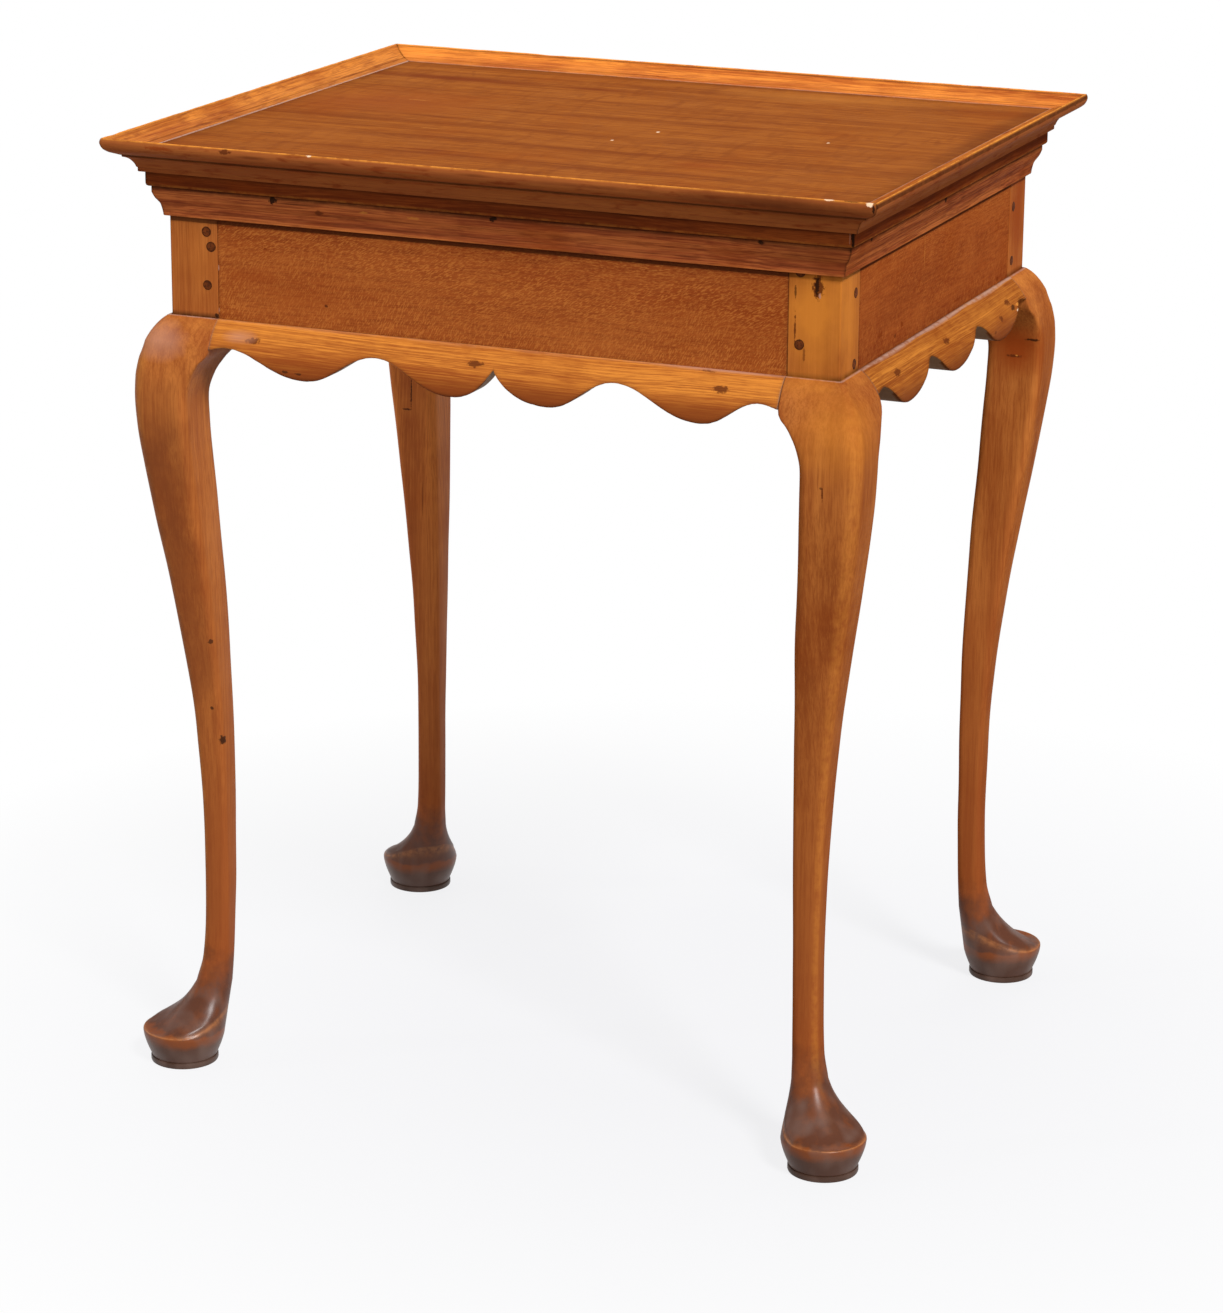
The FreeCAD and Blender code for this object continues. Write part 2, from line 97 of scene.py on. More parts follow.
class Tree:
    def __init__(self, nodeTree):
        self.made = nodeTree

    def add(self, kind, inputs=None, **settings):
        node = self.made.nodes.new(kind)
        for key, value in settings.items():
            setattr(node, key, value)
        for key, value in (inputs or {}).items():
            if isinstance(value, bpy.types.NodeSocket):
                self.made.links.new(value, node.inputs[key])
            else:
                node.inputs[key].default_value = value
        return node

    def math(self, operation, a, b, clamp=False):
        return self.add("ShaderNodeMath", {0: a, 1: b}, operation=operation,
                        use_clamp=clamp).outputs[0]

    def plus(self, a, b, clamp=False):
        return self.math("ADD", a, b, clamp)

    def times(self, a, b, clamp=False):
        return self.math("MULTIPLY", a, b, clamp)

    def vector(self, operation, a, b=(0.0, 0.0, 0.0)):
        node = self.add("ShaderNodeVectorMath", {0: a, 1: b}, operation=operation)
        return node.outputs["Value" if operation in ("LENGTH", "DISTANCE") else "Vector"]

    def heightOf(self, place):
        return self.add("ShaderNodeSeparateXYZ", {0: place}).outputs[2]

    def step(self, value, start, full, least=0.0, most=1.0):
        # clamped linear step
        return self.add("ShaderNodeMapRange",
                        {0: value, 1: start, 2: full, 3: least, 4: most}).outputs[0]

    def sway(self, value, pattern, amount):
        # shifts a value by up to half the amount each way
        return self.plus(value, self.times(self.math("SUBTRACT", pattern, 0.5), amount))

    def blend(self, share, a, b):
        return self.add("ShaderNodeMix", {0: share, 2: a, 3: b}).outputs[0]

    def mix(self, share, a, b):
        a, b = ((*tone, 1.0) if isinstance(tone, tuple) else tone for tone in (a, b))
        return self.add("ShaderNodeMix", {0: share, 6: a, 7: b}, data_type="RGBA",
                        clamp_factor=True).outputs[2]

    def grain(self, place, along, across, detail=2.0, wobble=0.0, seed=0.0):
        # noise drawn out along X, with cells of 1/along by 1/across metres
        cells = self.vector("MULTIPLY", place, (along, across, across))
        return self.add("ShaderNodeTexNoise",
                        {"Vector": cells, "W": seed, "Scale": 1.0, "Detail": detail,
                         "Roughness": 0.55, "Distortion": wobble}, noise_dimensions="4D").outputs[0]

    def cloud(self, place, scale, detail=3.0, rough=0.6):
        return self.add("ShaderNodeTexNoise", {"Vector": place, "Scale": scale, "Detail": detail,
                                               "Roughness": rough}).outputs[0]

    def age(self, name):
        return self.add("ShaderNodeAttribute", attribute_name=name).outputs["Fac"]

    def finish(self, colour, rough, relief, strength, depth, **more):
        bump = self.add("ShaderNodeBump", {"Height": relief, "Strength": strength,
                                           "Distance": depth})
        surface = self.add("ShaderNodeBsdfPrincipled", {
            "Base Color": colour, "Roughness": rough, "Normal": bump.outputs[0],
            **{key.replace("_", " "): value for key, value in more.items()}})
        self.add("ShaderNodeOutputMaterial", {"Surface": surface.outputs[0]})


def newMaterial(name):
    material = bpy.data.materials.new(name)
    material.use_nodes = True
    material.node_tree.nodes.clear()
    tree = Tree(material.node_tree)
    return material, tree, tree.add("ShaderNodeTexCoord").outputs["Object"]


def scaled(colour, tone):
    return tuple(part * tone for part in colour)


# Camera, floor and lamps

camera = {"place": (1.1688, -2.8030, 1.2271), "turn": 0.3939, "tilt": 0.2983, "roll": 0.0077,
          "lens": 113.85}
# the near colour is a painted shade: the glowing floor is a little darker around the table, centred at
# middle
floorLook = {"matt": (0.64, 0.64, 0.655), "bounce": (0.34, 0.32, 0.30), "radius": 120.0,
             "near": (0.930, 0.930, 0.945), "far": (1.0, 1.0, 1.0), "middle": (0.06, 0.05, 0.0),
             "fadeFrom": 0.20, "fadeTo": 0.80, "lift": 0.86, "drop": 0.0002}
lamps = [
    # name, degrees from the front towards the right, elevation, strength, softness, shows as a sheen
    ("keyLamp", 50, 44, 3.35, 14, True),
    ("rightFill", 62, 15, 0.50, 40, False),
    ("leftFill", -58, 18, 0.55, 6, False),
    ("sideFill", -96, 22, 0.30, 30, True),
    ("backFill", 195, 42, 0.95, 50, False),
]
roomLight = 0.28


def makeCamera():
    data = bpy.data.cameras.new("camera")
    data.sensor_width = 36.0
    data.lens = camera["lens"]
    data.clip_end = 300.0
    eye = bpy.data.objects.new("camera", data)
    bpy.context.collection.objects.link(eye)
    eye.matrix_world = (Matrix.Translation(camera["place"])
                        @ Matrix.Rotation(camera["turn"], 4, "Z")
                        @ Matrix.Rotation(math.pi / 2 - camera["tilt"], 4, "X")
                        @ Matrix.Rotation(camera["roll"], 4, "Z"))
    bpy.context.scene.camera = eye


def makeFloor():
    material, tree, place = newMaterial("paleFloor")
    path = tree.add("ShaderNodeLightPath").outputs
    shown = tree.math("MAXIMUM", path["Is Camera Ray"], path["Is Glossy Ray"])
    shown = tree.math("MAXIMUM", shown, path["Is Transmission Ray"])
    matt = tree.add("ShaderNodeBsdfDiffuse",
                    {"Color": tree.mix(shown, floorLook["bounce"], floorLook["matt"])})
    # painted shade: the glow is darker near the table and fades out to the far colour
    away = tree.vector("DISTANCE", place, floorLook["middle"])
    fade = tree.step(away, floorLook["fadeFrom"], floorLook["fadeTo"])
    paper = tree.add("ShaderNodeEmission",
                     {"Color": tree.mix(fade, floorLook["near"], floorLook["far"])})
    lift = tree.times(tree.step(fade, 0.0, 1.0, floorLook["lift"], 1.0), shown)
    lit = tree.add("ShaderNodeMixShader", {0: lift, 1: matt.outputs[0], 2: paper.outputs[0]})
    tree.add("ShaderNodeOutputMaterial", {"Surface": lit.outputs[0]})
    mesh = bpy.data.meshes.new("floor")
    form = bmesh.new()
    bmesh.ops.create_circle(form, cap_ends=True, segments=64, radius=floorLook["radius"])
    form.to_mesh(mesh)
    form.free()
    mesh.materials.append(material)
    floor = bpy.data.objects.new("floor", mesh)
    floor.location.z = -floorLook["drop"]
    bpy.context.collection.objects.link(floor)


def makeLight():
    for name, turn, height, strength, softness, shows in lamps:
        data = bpy.data.lights.new(name, "SUN")
        data.energy = strength
        data.angle = math.radians(softness)
        lamp = bpy.data.objects.new(name, data)
        lamp.rotation_euler = (math.radians(90 - height), 0.0, math.radians(turn))
        lamp.visible_glossy = shows
        bpy.context.collection.objects.link(lamp)
    world = bpy.data.worlds.new("room")
    bpy.context.scene.world = world
    world.use_nodes = True
    world.node_tree.nodes.clear()
    tree = Tree(world.node_tree)
    room = tree.add("ShaderNodeBackground", {"Color": (1.0, 1.0, 1.0, 1.0), "Strength": roomLight})
    tree.add("ShaderNodeOutputWorld", {"Surface": room.outputs[0]})


bpy.context.scene.view_settings.view_transform = "Standard"
makeCamera()
makeFloor()
makeLight()
print("camera, floor and lamps are set")


# Wood. Pale, mid and deep are tones of the same board. Bands and lines are in cells per metre, along
# the grain and across it, and the other numbers say how strongly each thing shows.
woods = {
    "rail": {"pale": (0.38, 0.1, 0.02), "mid": (0.285, 0.06, 0.012), "deep": (0.165, 0.027, 0.007),
             "silk": (0.62, 0.215, 0.042), "bands": (1.6, 14), "lines": (16, 300), "lineDepth": 0.22,
             "fibre": 0.42, "fleck": 0.42, "cloud": 0.45, "rough": 0.65, "shine": 0.02,
             "paintedShadowLine": 0.8},
    "skirt": {"pale": (0.68, 0.24, 0.036), "mid": (0.47, 0.143, 0.022), "deep": (0.27, 0.058, 0.011),
              "coat": (0.33, 0.215, 0.13), "bands": (1.5, 60), "lines": (3, 1050),
              "lineDepth": 0.66, "fibre": 0.55, "cloud": 0.5, "rough": 0.52, "shine": 0.05,
              "sway": 0.01, "lobes": 0.92},
    "rim": {"pale": (0.6, 0.2, 0.03), "mid": (0.42, 0.113, 0.018), "deep": (0.2, 0.038, 0.008),
            "coat": (0.262, 0.07, 0.02), "bands": (2.2, 60), "lines": (7, 700), "lineDepth": 0.5,
            "fibre": 0.4, "mottle": 0.85, "cloud": 0.6, "rough": 0.55, "shine": 0.03},
    "strip": {"pale": (0.26, 0.057, 0.011), "mid": (0.175, 0.034, 0.007),
              "deep": (0.085, 0.014, 0.004), "bands": (2, 60), "lines": (6, 620), "lineDepth": 0.5,
              "fibre": 0.35, "mottle": 0.3, "cloud": 0.4, "rough": 0.62, "shine": 0.02},
    "bed": {"pale": (0.52, 0.148, 0.039), "mid": (0.375, 0.087, 0.025), "deep": (0.15, 0.028, 0.01),
            "bands": (3, 110), "lines": (6, 700), "lineDepth": 0.6, "fibre": 0.45, "mottle": 0.45,
            "cloud": 0.5, "rough": 0.58, "shine": 0.025},
    "board": {"pale": (0.375, 0.111, 0.015), "mid": (0.3, 0.082, 0.011), "deep": (0.18, 0.038, 0.006),
              "bands": (1.3, 52), "lines": (5, 640), "lineDepth": 0.55, "fibre": 0.5, "ripple": 0.4,
              "cloud": 0.3, "rough": 0.6, "shine": 0.015},
    "leg": {"pale": (0.53, 0.172, 0.037), "mid": (0.41, 0.117, 0.025), "deep": (0.25, 0.056, 0.013),
            "bands": (1.6, 46), "lines": (4, 560), "lineDepth": 0.38, "fibre": 0.34, "sway": 0.006,
            "mottle": 0.14, "cloud": 0.42, "rough": 0.46, "shine": 0.1, "paintedShadowLine": 0.8,
            "feet": True},
    "block": {"pale": (0.62, 0.42, 0.23), "mid": (0.52, 0.33, 0.17), "deep": (0.38, 0.22, 0.11),
              "bands": (3, 60), "lines": (10, 420), "lineDepth": 0.4, "fibre": 0.3, "cloud": 0.3,
              "rough": 0.7, "shine": 0.2},
}
grainLayers = (
    # pattern, the value where it starts and is full, its share, colour
    ("bands", 0.36, 0.52, 1.0, "mid"), ("bands", 0.52, 0.70, 0.8, "deep"),
    ("lines", 0.50, 0.61, 1.0, "deep"), ("lines", 0.47, 0.36, 1.0, "pale"),
    ("fibre", 0.49, 0.60, 1.0, "deep"), ("fibre", 0.46, 0.36, 0.6, "pale"),
    ("cloud", 0.52, 0.74, 1.0, "red"), ("cloud", 0.46, 0.26, 1.0, "pale"),
)
# The dirt colour also paints shade where the grime attribute carries it, and the shade line colour is a
# painted shadow under the bed moulding.
ageingAndShade = {"dirtAndShade": (0.030, 0.011, 0.005), "rubbed": (0.80, 0.32, 0.050), "wax": (0.46, 0.30, 0.24),
          "red": (0.25, 0.042, 0.005), "paintedShadowLine": (0.055, 0.013, 0.005), "shadowLineHeight": 0.0040,
          "usualSway": 0.025, "lobesFrom": 0.014, "lobesTo": 0.031}
ageKeys = ("rub", "grimeAndShade", "wax", "coat")
footLook = {
    # colour, the heights where it starts and is full, strength
    "shin": ((0.235, 0.056, 0.015), 0.44, 0.08, 0.80),
    "dish": ((0.080, 0.029, 0.016), 0.086, 0.050, 0.92),
    "glow": ((0.200, 0.052, 0.013), 0.095, 0.070, 0.36),
    "lip": ((0.195, 0.048, 0.010), 0.0280, 0.0262, 0.85),
    "side": ((0.075, 0.034, 0.022), 0.0225, 0.0170, 0.92),
    "disc": ((0.060, 0.030, 0.020), 0.0052, 0.0047, 1.0),
    # bloom: grey patches on the dish, partly dusty bloom and partly a painted sheen
    "bloomAndSheen": ((0.160, 0.098, 0.078), 0.066, 0.046, 0.55),
    "rubbed": ((0.40, 0.150, 0.050), 0.070, 0.040, 1.0),
}
footPolish = {"from": 0.085, "full": 0.045, "coat": 0.42, "rough": 0.32}
sideShine = {"front": 1.0, "right": 0.12, "back": 1.0, "left": 1.0}     # polish left on each side


def fleckOf(tree, place):
    # short silky dashes, steep low down on the board and nearly level higher up
    level = tree.sway(tree.heightOf(place), tree.cloud(place, 7.0), 0.16)
    dashes = []
    for seed, lean in enumerate((0.06, 0.50, 1.05)):
        turned = tree.add("ShaderNodeVectorRotate",
                          {"Vector": place, "Axis": (0, 1, 0), "Angle": lean}).outputs[0]
        silk = tree.grain(turned, 300.0, 1350.0, detail=1.0, wobble=0.35, seed=5.0 + seed)
        dashes.append(tree.step(silk, 0.48, 0.62))
    steep = tree.step(level, railFoot + 0.055, railFoot + 0.020)
    flat = tree.step(level, railFoot + 0.060, railFoot + 0.095)
    return tree.blend(flat, tree.blend(steep, dashes[1], dashes[2]), dashes[0])


def footTone(tree, colour, place, height, rub):
    # shins redden downwards, and the pads are dark and scuffed with a rubbed lip
    patch = tree.cloud(place, 55.0, detail=4.0)
    level = tree.sway(height, patch, 0.075)
    fine = tree.sway(height, patch, 0.012)
    hazy = tree.add("ShaderNodeMapping", {"Vector": place, "Scale": (1.0, 1.0, 0.55)}).outputs[0]
    glow = tree.step(tree.cloud(hazy, 105.0, detail=2.0), 0.50, 0.68)
    # painted sheen: grey bloom patches across the dish
    bloomAndSheen = tree.step(tree.cloud(hazy, 60.0, detail=1.0), 0.46, 0.72)
    layers = {"shin": (level, 1.0), "dish": (level, 1.0), "glow": (height, glow), "lip": (fine, 1.0),
              "side": (fine, 1.0), "disc": (height, 1.0), "bloomAndSheen": (level, bloomAndSheen),
              "rubbed": (height, rub)}
    for key, (source, share) in layers.items():
        tone, start, full, strength = footLook[key]
        reach = tree.step(source, start, full, 0.0, strength)
        colour = tree.mix(tree.times(reach, share), colour, tone)
    return colour


def makeWood(name, wood, turn=0.0, upright=False, shift=(0.0, 0.0, 0.0), tone=1.0, marks=(),
             shine=1.0, figure=1.0):
    look = woods[wood]
    tones = {key: scaled(value, tone) for key, value in {**ageingAndShade, **look}.items()
             if isinstance(value, tuple) and len(value) == 3}
    material, tree, raw = newMaterial(name)
    height = tree.heightOf(raw)
    swing = (0.0, math.pi / 2, 0.0) if upright else (0.0, 0.0, -math.radians(turn))
    laid = tree.add("ShaderNodeMapping", {"Vector": raw, "Rotation": swing}).outputs[0]
    place = tree.add("ShaderNodeMapping", {"Vector": laid, "Location": shift}).outputs[0]
    aside = tree.times(tree.grain(place, 3.0, 9.0, seed=1.0), look.get("sway", ageingAndShade["usualSway"]))
    bend = tree.add("ShaderNodeCombineXYZ", {1: aside, 2: aside}).outputs[0]
    grain = tree.vector("ADD", place, bend)
    bands = tree.grain(grain, *look["bands"], detail=3.0, wobble=0.4, seed=2.0)
    lines = tree.grain(grain, *look["lines"], detail=2.0, wobble=0.1, seed=4.0)
    fibre = tree.grain(grain, 50.0, 1500.0, detail=2.0, seed=6.0)
    cloud = tree.cloud(place, 13.0)
    scuff = tree.cloud(raw, 170.0)
    chipped = tree.cloud(raw, 430.0)
    rub, grimeAndShade, wax, coat = (tree.age(key) for key in ageKeys)

    patterns = {"bands": (bands, 1.0), "lines": (lines, look["lineDepth"]),
                "fibre": (fibre, look["fibre"]), "cloud": (cloud, look["cloud"])}
    colour = tones["pale"]
    for key, start, full, share, tint in grainLayers:
        pattern, strength = patterns[key]
        colour = tree.mix(tree.step(pattern, start, full, 0.0, share * strength), colour, tones[tint])
    if "fleck" in look:
        silk = tree.times(fleckOf(tree, laid), look["fleck"] * figure)
        colour = tree.mix(silk, colour, tones["silk"])
    # painted shade: the lower lobes of the skirts are drawn towards the deep tone
    if "lobes" in look:
        low = tree.step(tree.sway(height, cloud, 0.012), seam - ageingAndShade["lobesFrom"],
                        seam - ageingAndShade["lobesTo"], 0.0, look["lobes"])
        colour = tree.mix(low, colour, tones["deep"])
    if "coat" in look:
        colour = tree.mix(tree.times(coat, 0.80), colour, tones["coat"])
    if "mottle" in look:
        blotch = tree.grain(place, 42.0, 190.0, detail=4.0, wobble=0.4, seed=10.0)
        blotch = tree.step(blotch, 0.54, 0.66, 0.0, look["mottle"] * figure)
        colour = tree.mix(blotch, colour, tones["deep"])
    if "ripple" in look:
        wave = tree.grain(place, 80.0, 22.0, detail=1.0, wobble=1.2, seed=8.0)
        wave = tree.times(tree.step(wave, 0.50, 0.66, 0.0, look["ripple"]),
                          tree.step(tree.cloud(place, 5.0), 0.40, 0.60))
        colour = tree.mix(wave, colour, tones["deep"])

    worn = tree.times(rub, tree.step(scuff, 0.34, 0.58, 0.20, 1.0))
    polish = {"Specular_IOR_Level": look["shine"] * shine}
    if "feet" in look:
        colour = footTone(tree, colour, raw, height, worn)
        worn = tree.times(worn, tree.step(height, 0.04, 0.08))
        polish["Coat_Weight"] = tree.step(height, footPolish["from"], footPolish["full"], 0.0,
                                          footPolish["coat"])
        polish["Coat_Roughness"] = footPolish["rough"]
    colour = tree.mix(tree.times(worn, 0.75), colour, tones["rubbed"])
    # painted shadow: a dark band just under the bed moulding, on the rails and posts
    if "paintedShadowLine" in look:
        low = bedFoot - ageingAndShade["shadowLineHeight"]
        line = tree.step(tree.sway(height, scuff, 0.0012), low, low + 0.0006, 0.0, look["paintedShadowLine"])
        colour = tree.mix(line, colour, ageingAndShade["paintedShadowLine"])
    # the grime attribute holds real dirt and also painted shade, such as on the inward faces of the
    # knees and the lower lobes of the skirts
    soiledAndShaded = tree.times(grimeAndShade, tree.step(scuff, 0.25, 0.55, 0.70, 1.0), True)
    colour = tree.mix(soiledAndShaded, colour, ageingAndShade["dirtAndShade"])
    waxed = tree.times(wax, tree.step(scuff, 0.36, 0.52, 0.45, 1.0), True)
    colour = tree.mix(waxed, colour, ageingAndShade["wax"])
    for mark in marks:
        colour = addMark(tree, colour, raw, chipped, mark)
    rough = tree.plus(tree.sway(look["rough"], cloud, 0.25), tree.times(soiledAndShaded, 0.25), True)
    swell = tree.times(tree.cloud(raw, 30.0, detail=1.0), 5.0)
    tree.finish(colour, rough, tree.plus(swell, tree.plus(lines, fibre)), 0.40, 0.0001, **polish)
    return material


# the haze tone is a pale wax haze, and on the front-left knee a painted sheen
markTones = {"dark": (0.022, 0.008, 0.004), "brown": (0.11, 0.024, 0.006), "red": (0.17, 0.028, 0.004),
             "ruddy": (0.26, 0.048, 0.008), "blond": (0.58, 0.195, 0.026), "haze": (0.48, 0.23, 0.15),
             "umber": (0.195, 0.050, 0.014), "gold": (0.55, 0.20, 0.035), "pale": (0.85, 0.62, 0.42)}
broadMark = 12.5        # marks longer than this fade out softly


def addMark(tree, colour, raw, chipped, mark):
    # Lays a ragged spot over the colour. A mark is its place and half sizes in millimetres, its
    # tone and its strength.
    x, y, z, *size, tone, strength = mark
    near = tree.vector("SUBTRACT", raw, scaled((x, y, z), mm))
    away = tree.vector("LENGTH", tree.vector("DIVIDE", near, scaled(size, mm)))
    if max(size) > broadMark:
        away = tree.sway(away, tree.cloud(raw, 45.0), 0.8)
        spot = tree.step(away, 1.10, 0.20, 0.0, strength)
    else:
        spot = tree.step(tree.sway(away, chipped, 2.0), 1.05, 0.70, 0.0, strength)
    return tree.mix(spot, colour, markTones[tone])


ironTones = {"pit": (0.040, 0.022, 0.015), "face": (0.30, 0.20, 0.15)}
pegTones = {"dark": (0.075, 0.020, 0.007), "light": (0.165, 0.040, 0.010), "pore": (0.035, 0.013, 0.007)}


def makeIron(name, tone):
    material, tree, raw = newMaterial(name)
    pits = tree.cloud(raw, 900.0, 4.0, 0.5)
    colour = tree.mix(tree.step(pits, 0.40, 0.62), scaled(ironTones["pit"], tone),
                      scaled(ironTones["face"], tone))
    colour = tree.mix(tree.times(tree.age("grimeAndShade"), 0.8), colour, ageingAndShade["dirtAndShade"])
    tree.finish(colour, tree.step(pits, 0.3, 0.7, 0.35, 0.7), pits, 0.6, 0.0002, Metallic=0.4)
    return material


def makePegWood():
    material, tree, raw = newMaterial("pegEndGrain")
    pores = tree.cloud(raw, 700.0, 4.0, 0.5)
    blotch = tree.step(tree.cloud(raw, 130.0, 2.0, 0.5), 0.35, 0.65)
    colour = tree.mix(blotch, pegTones["dark"], pegTones["light"])
    colour = tree.mix(tree.step(pores, 0.50, 0.62, 0.0, 0.7), colour, pegTones["pore"])
    colour = tree.mix(tree.times(tree.age("grimeAndShade"), 0.85), colour, ageingAndShade["dirtAndShade"])
    tree.finish(colour, 0.5, pores, 0.5, 0.0002, Specular_IOR_Level=0.01)
    return material


def spin(points, angle):
    # turns an array of points about the middle of the table by quarter turns
    turn = round(angle / 90) % 4
    cos, sin = (1, 0, -1, 0)[turn], (0, 1, 0, -1)[turn]
    x, y = points[..., 0].copy(), points[..., 1].copy()
    points[..., 0] = x * cos - y * sin
    points[..., 1] = x * sin + y * cos
    return points


def finishPiece(name, mesh, material, node, sharp=32.0):
    mesh.materials.clear()
    mesh.materials.append(material)
    mesh.shade_smooth()
    mesh.set_sharp_from_angle(angle=math.radians(sharp))
    piece = bpy.data.objects.new(name, mesh)
    bpy.context.collection.objects.link(piece)
    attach(piece, "root")
    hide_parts(node)


def finishSide(look, side, rings, ages, shift, stains=(), sharp=32.0):
    # gives one side's piece its mesh, its own board of wood and its CAD node
    name = look["name"].format(side)
    mesh = ringMesh(name, [rings], ages, sides[side])
    material = makeWood(look["wood"] + "Wood_" + side, look["wood"], sides[side], shift=shift,
                        tone=bySide(look, "tone", side), shine=sideShine[side],
                        marks=[*stains, *look["marks"].get(side, ())],
                        figure=bySide(look, "figure", side))
    finishPiece(name, mesh, material, look["node"] + side, sharp)


def ringMesh(name, parts, ages=None, turn=0):
    # skins closed rings of equal count, with a flat cap at each end of each part
    verts, faces = [], []
    for rings in parts:
        count, around = rings.shape[:2]
        base = len(verts)
        verts += np.clip(spin(rings, turn).reshape(-1, 3), *cadBox).tolist()
        ring = np.arange(around)
        for start in range(base, base + (count - 1) * around, around):
            faces += [(start + j, start + k, start + around + k, start + around + j)
                      for j, k in zip(ring, np.roll(ring, -1))]
        faces.append(tuple(base + ring))
        faces.append(tuple(base + (count - 1) * around + ring[::-1]))
    mesh = bpy.data.meshes.new(name)
    mesh.from_pydata(verts, [], faces)
    for key in ageKeys:
        values = np.clip((ages or {}).get(key, np.zeros(len(verts))), 0.0, 1.0)
        mesh.attributes.new(key, "FLOAT", "POINT").data.foreach_set("value", values.ravel())
    form = bmesh.new()
    form.from_mesh(mesh)
    bmesh.ops.recalc_face_normals(form, faces=form.faces)
    form.to_mesh(mesh)
    form.free()
    return mesh


def curveAt(points, x, column=1):
    # monotone cubic through the points, so that no span overshoots
    xs = [p[0] for p in points]
    ys = [p[column] for p in points]
    gaps = [b - a for a, b in zip(xs, xs[1:])]
    slopes = [(b - a) / g for a, b, g in zip(ys, ys[1:], gaps)]
    tangents = [slopes[0]]
    for before, after in zip(slopes, slopes[1:]):
        sameWay = before * after > 0
        tangents.append(2 * before * after / (before + after) if sameWay else 0.0)
    tangents.append(slopes[-1])
    x = min(max(x, xs[0]), xs[-1])
    i = max(k for k in range(len(gaps)) if xs[k] <= x)
    t = (x - xs[i]) / gaps[i]
    bend = gaps[i] * (tangents[i] * t * (1 - t) ** 2 - tangents[i + 1] * t * t * (1 - t))
    return ys[i] + (ys[i + 1] - ys[i]) * t * t * (3 - 2 * t) + bend


def through(points, steps):
    # rounded line through the points, ends included
    padded = [np.array(p, float) for p in (points[0], *points, points[-1])]
    line = []
    for a, b, c, d in zip(padded, padded[1:], padded[2:], padded[3:]):
        for t in np.arange(steps) / steps:
            line.append(0.5 * (2 * b + (c - a) * t + (2 * a - 5 * b + 4 * c - d) * t * t
                               + (3 * b - a - 3 * c + d) * t ** 3))
    return [tuple(p) for p in line] + [tuple(points[-1])]


def eased(cornersIn, gap):
    # closed section from (out, height, ease) corners, with long spans divided
    line = []
    for i, (x, y, ease) in enumerate(cornersIn):
        here = np.array((x, y))
        if ease == 0:
            line.append(here)
            continue
        back, on = (np.array(cornersIn[k % len(cornersIn)][:2]) for k in (i - 1, i + 1))
        start = here + (back - here) / np.linalg.norm(back - here) * ease
        end = here + (on - here) / np.linalg.norm(on - here) * ease
        for t in (0.0, 0.25, 0.5, 0.75, 1.0):
            line.append(start * (1 - t) ** 2 + here * 2 * t * (1 - t) + end * t * t)
    dense = []
    for a, b in zip(line, line[1:] + line[:1]):
        parts = max(1, math.ceil(np.linalg.norm(b - a) / gap))
        dense += [a + (b - a) * k / parts for k in range(parts)]
    return np.array(dense)


def extruded(section, stations):
    return np.array([[(x, y, z) for y, z in section] for x in stations])


def unevenness(points, size, amount, seed):
    # slow wander of the hand-planed surface, in metres, for each point
    shift = Vector((seed * 3.1, seed * 1.7, seed * 0.9))
    values = [noise.noise(Vector(p) / size + shift) for p in points.reshape(-1, 3)]
    return np.array(values).reshape(points.shape[:-1]) * amount


def sweep(section, endAt, reach, stations=90, mitre=True, arris=0.0004, gap=0.00012):
    # lays a section of (out, height) points along X, its ends square or mitred
    inward = section.mean(axis=0) - section
    thin = section + inward / np.linalg.norm(inward, axis=1)[:, None] * arris
    near = [0.0, arris, 3 * arris, 6 * arris]
    middle = np.linspace(-1, 1, stations + 1)[1:-1]
    rings = []
    for way, back in [(-1, b) for b in near] + [(step, 0.0) for step in middle] \
            + [(1, b) for b in near[::-1]]:
        shape = thin if abs(way) == 1 and back == 0.0 else section
        ends = np.full(len(shape), endAt - gap) + (shape[:, 0] if mitre else 0.0)
        rings.append(np.stack([way * ends - np.sign(way) * back, -reach - shape[:, 0],
                               shape[:, 1]], axis=1))
    return np.array(rings)


def fromEnds(rings):
    # distance of each point from the nearer end of its run
    return np.abs(np.minimum(rings[..., 0] - rings[:1, :, 0], rings[-1:, :, 0] - rings[..., 0]))


def shade(points, centre, size):
    # soft bump from 1 at the centre to 0 away from it
    return np.exp(-((points - centre) / size) ** 2)


def fade(distance, size):
    return np.exp(-distance / size)


def solidsOf(node, angle):
    # lowest and highest corner of each solid in a node, turned to face the front
    form = bmesh.new()
    form.from_mesh(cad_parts[node].data)
    bmesh.ops.remove_doubles(form, verts=form.verts, dist=1e-6)
    left = set(form.verts)
    found = []
    while left:
        queue = [left.pop()]
        group = []
        while queue:
            vert = queue.pop()
            group.append(tuple(vert.co))
            beside = {link.other_vert(vert) for link in vert.link_edges} & left
            left -= beside
            queue += beside
        points = spin(np.array(group), -angle)
        found.append((points.min(axis=0), points.max(axis=0)))
    form.free()
    return sorted(found, key=lambda pair: tuple(pair[0].round(4)))


def rodsOf(node, angle, proud=0.0):
    # middle of each rod's outer end, and the radius and length of the rods
    boxes = solidsOf(node, angle)
    ends = [((low[0] + high[0]) / 2, low[1] - proud, (low[2] + high[2]) / 2) for low, high in boxes]
    low, high = boxes[0]
    return ends, (high[0] - low[0]) / 2, high[1] - low[1]


print("helpers are ready")


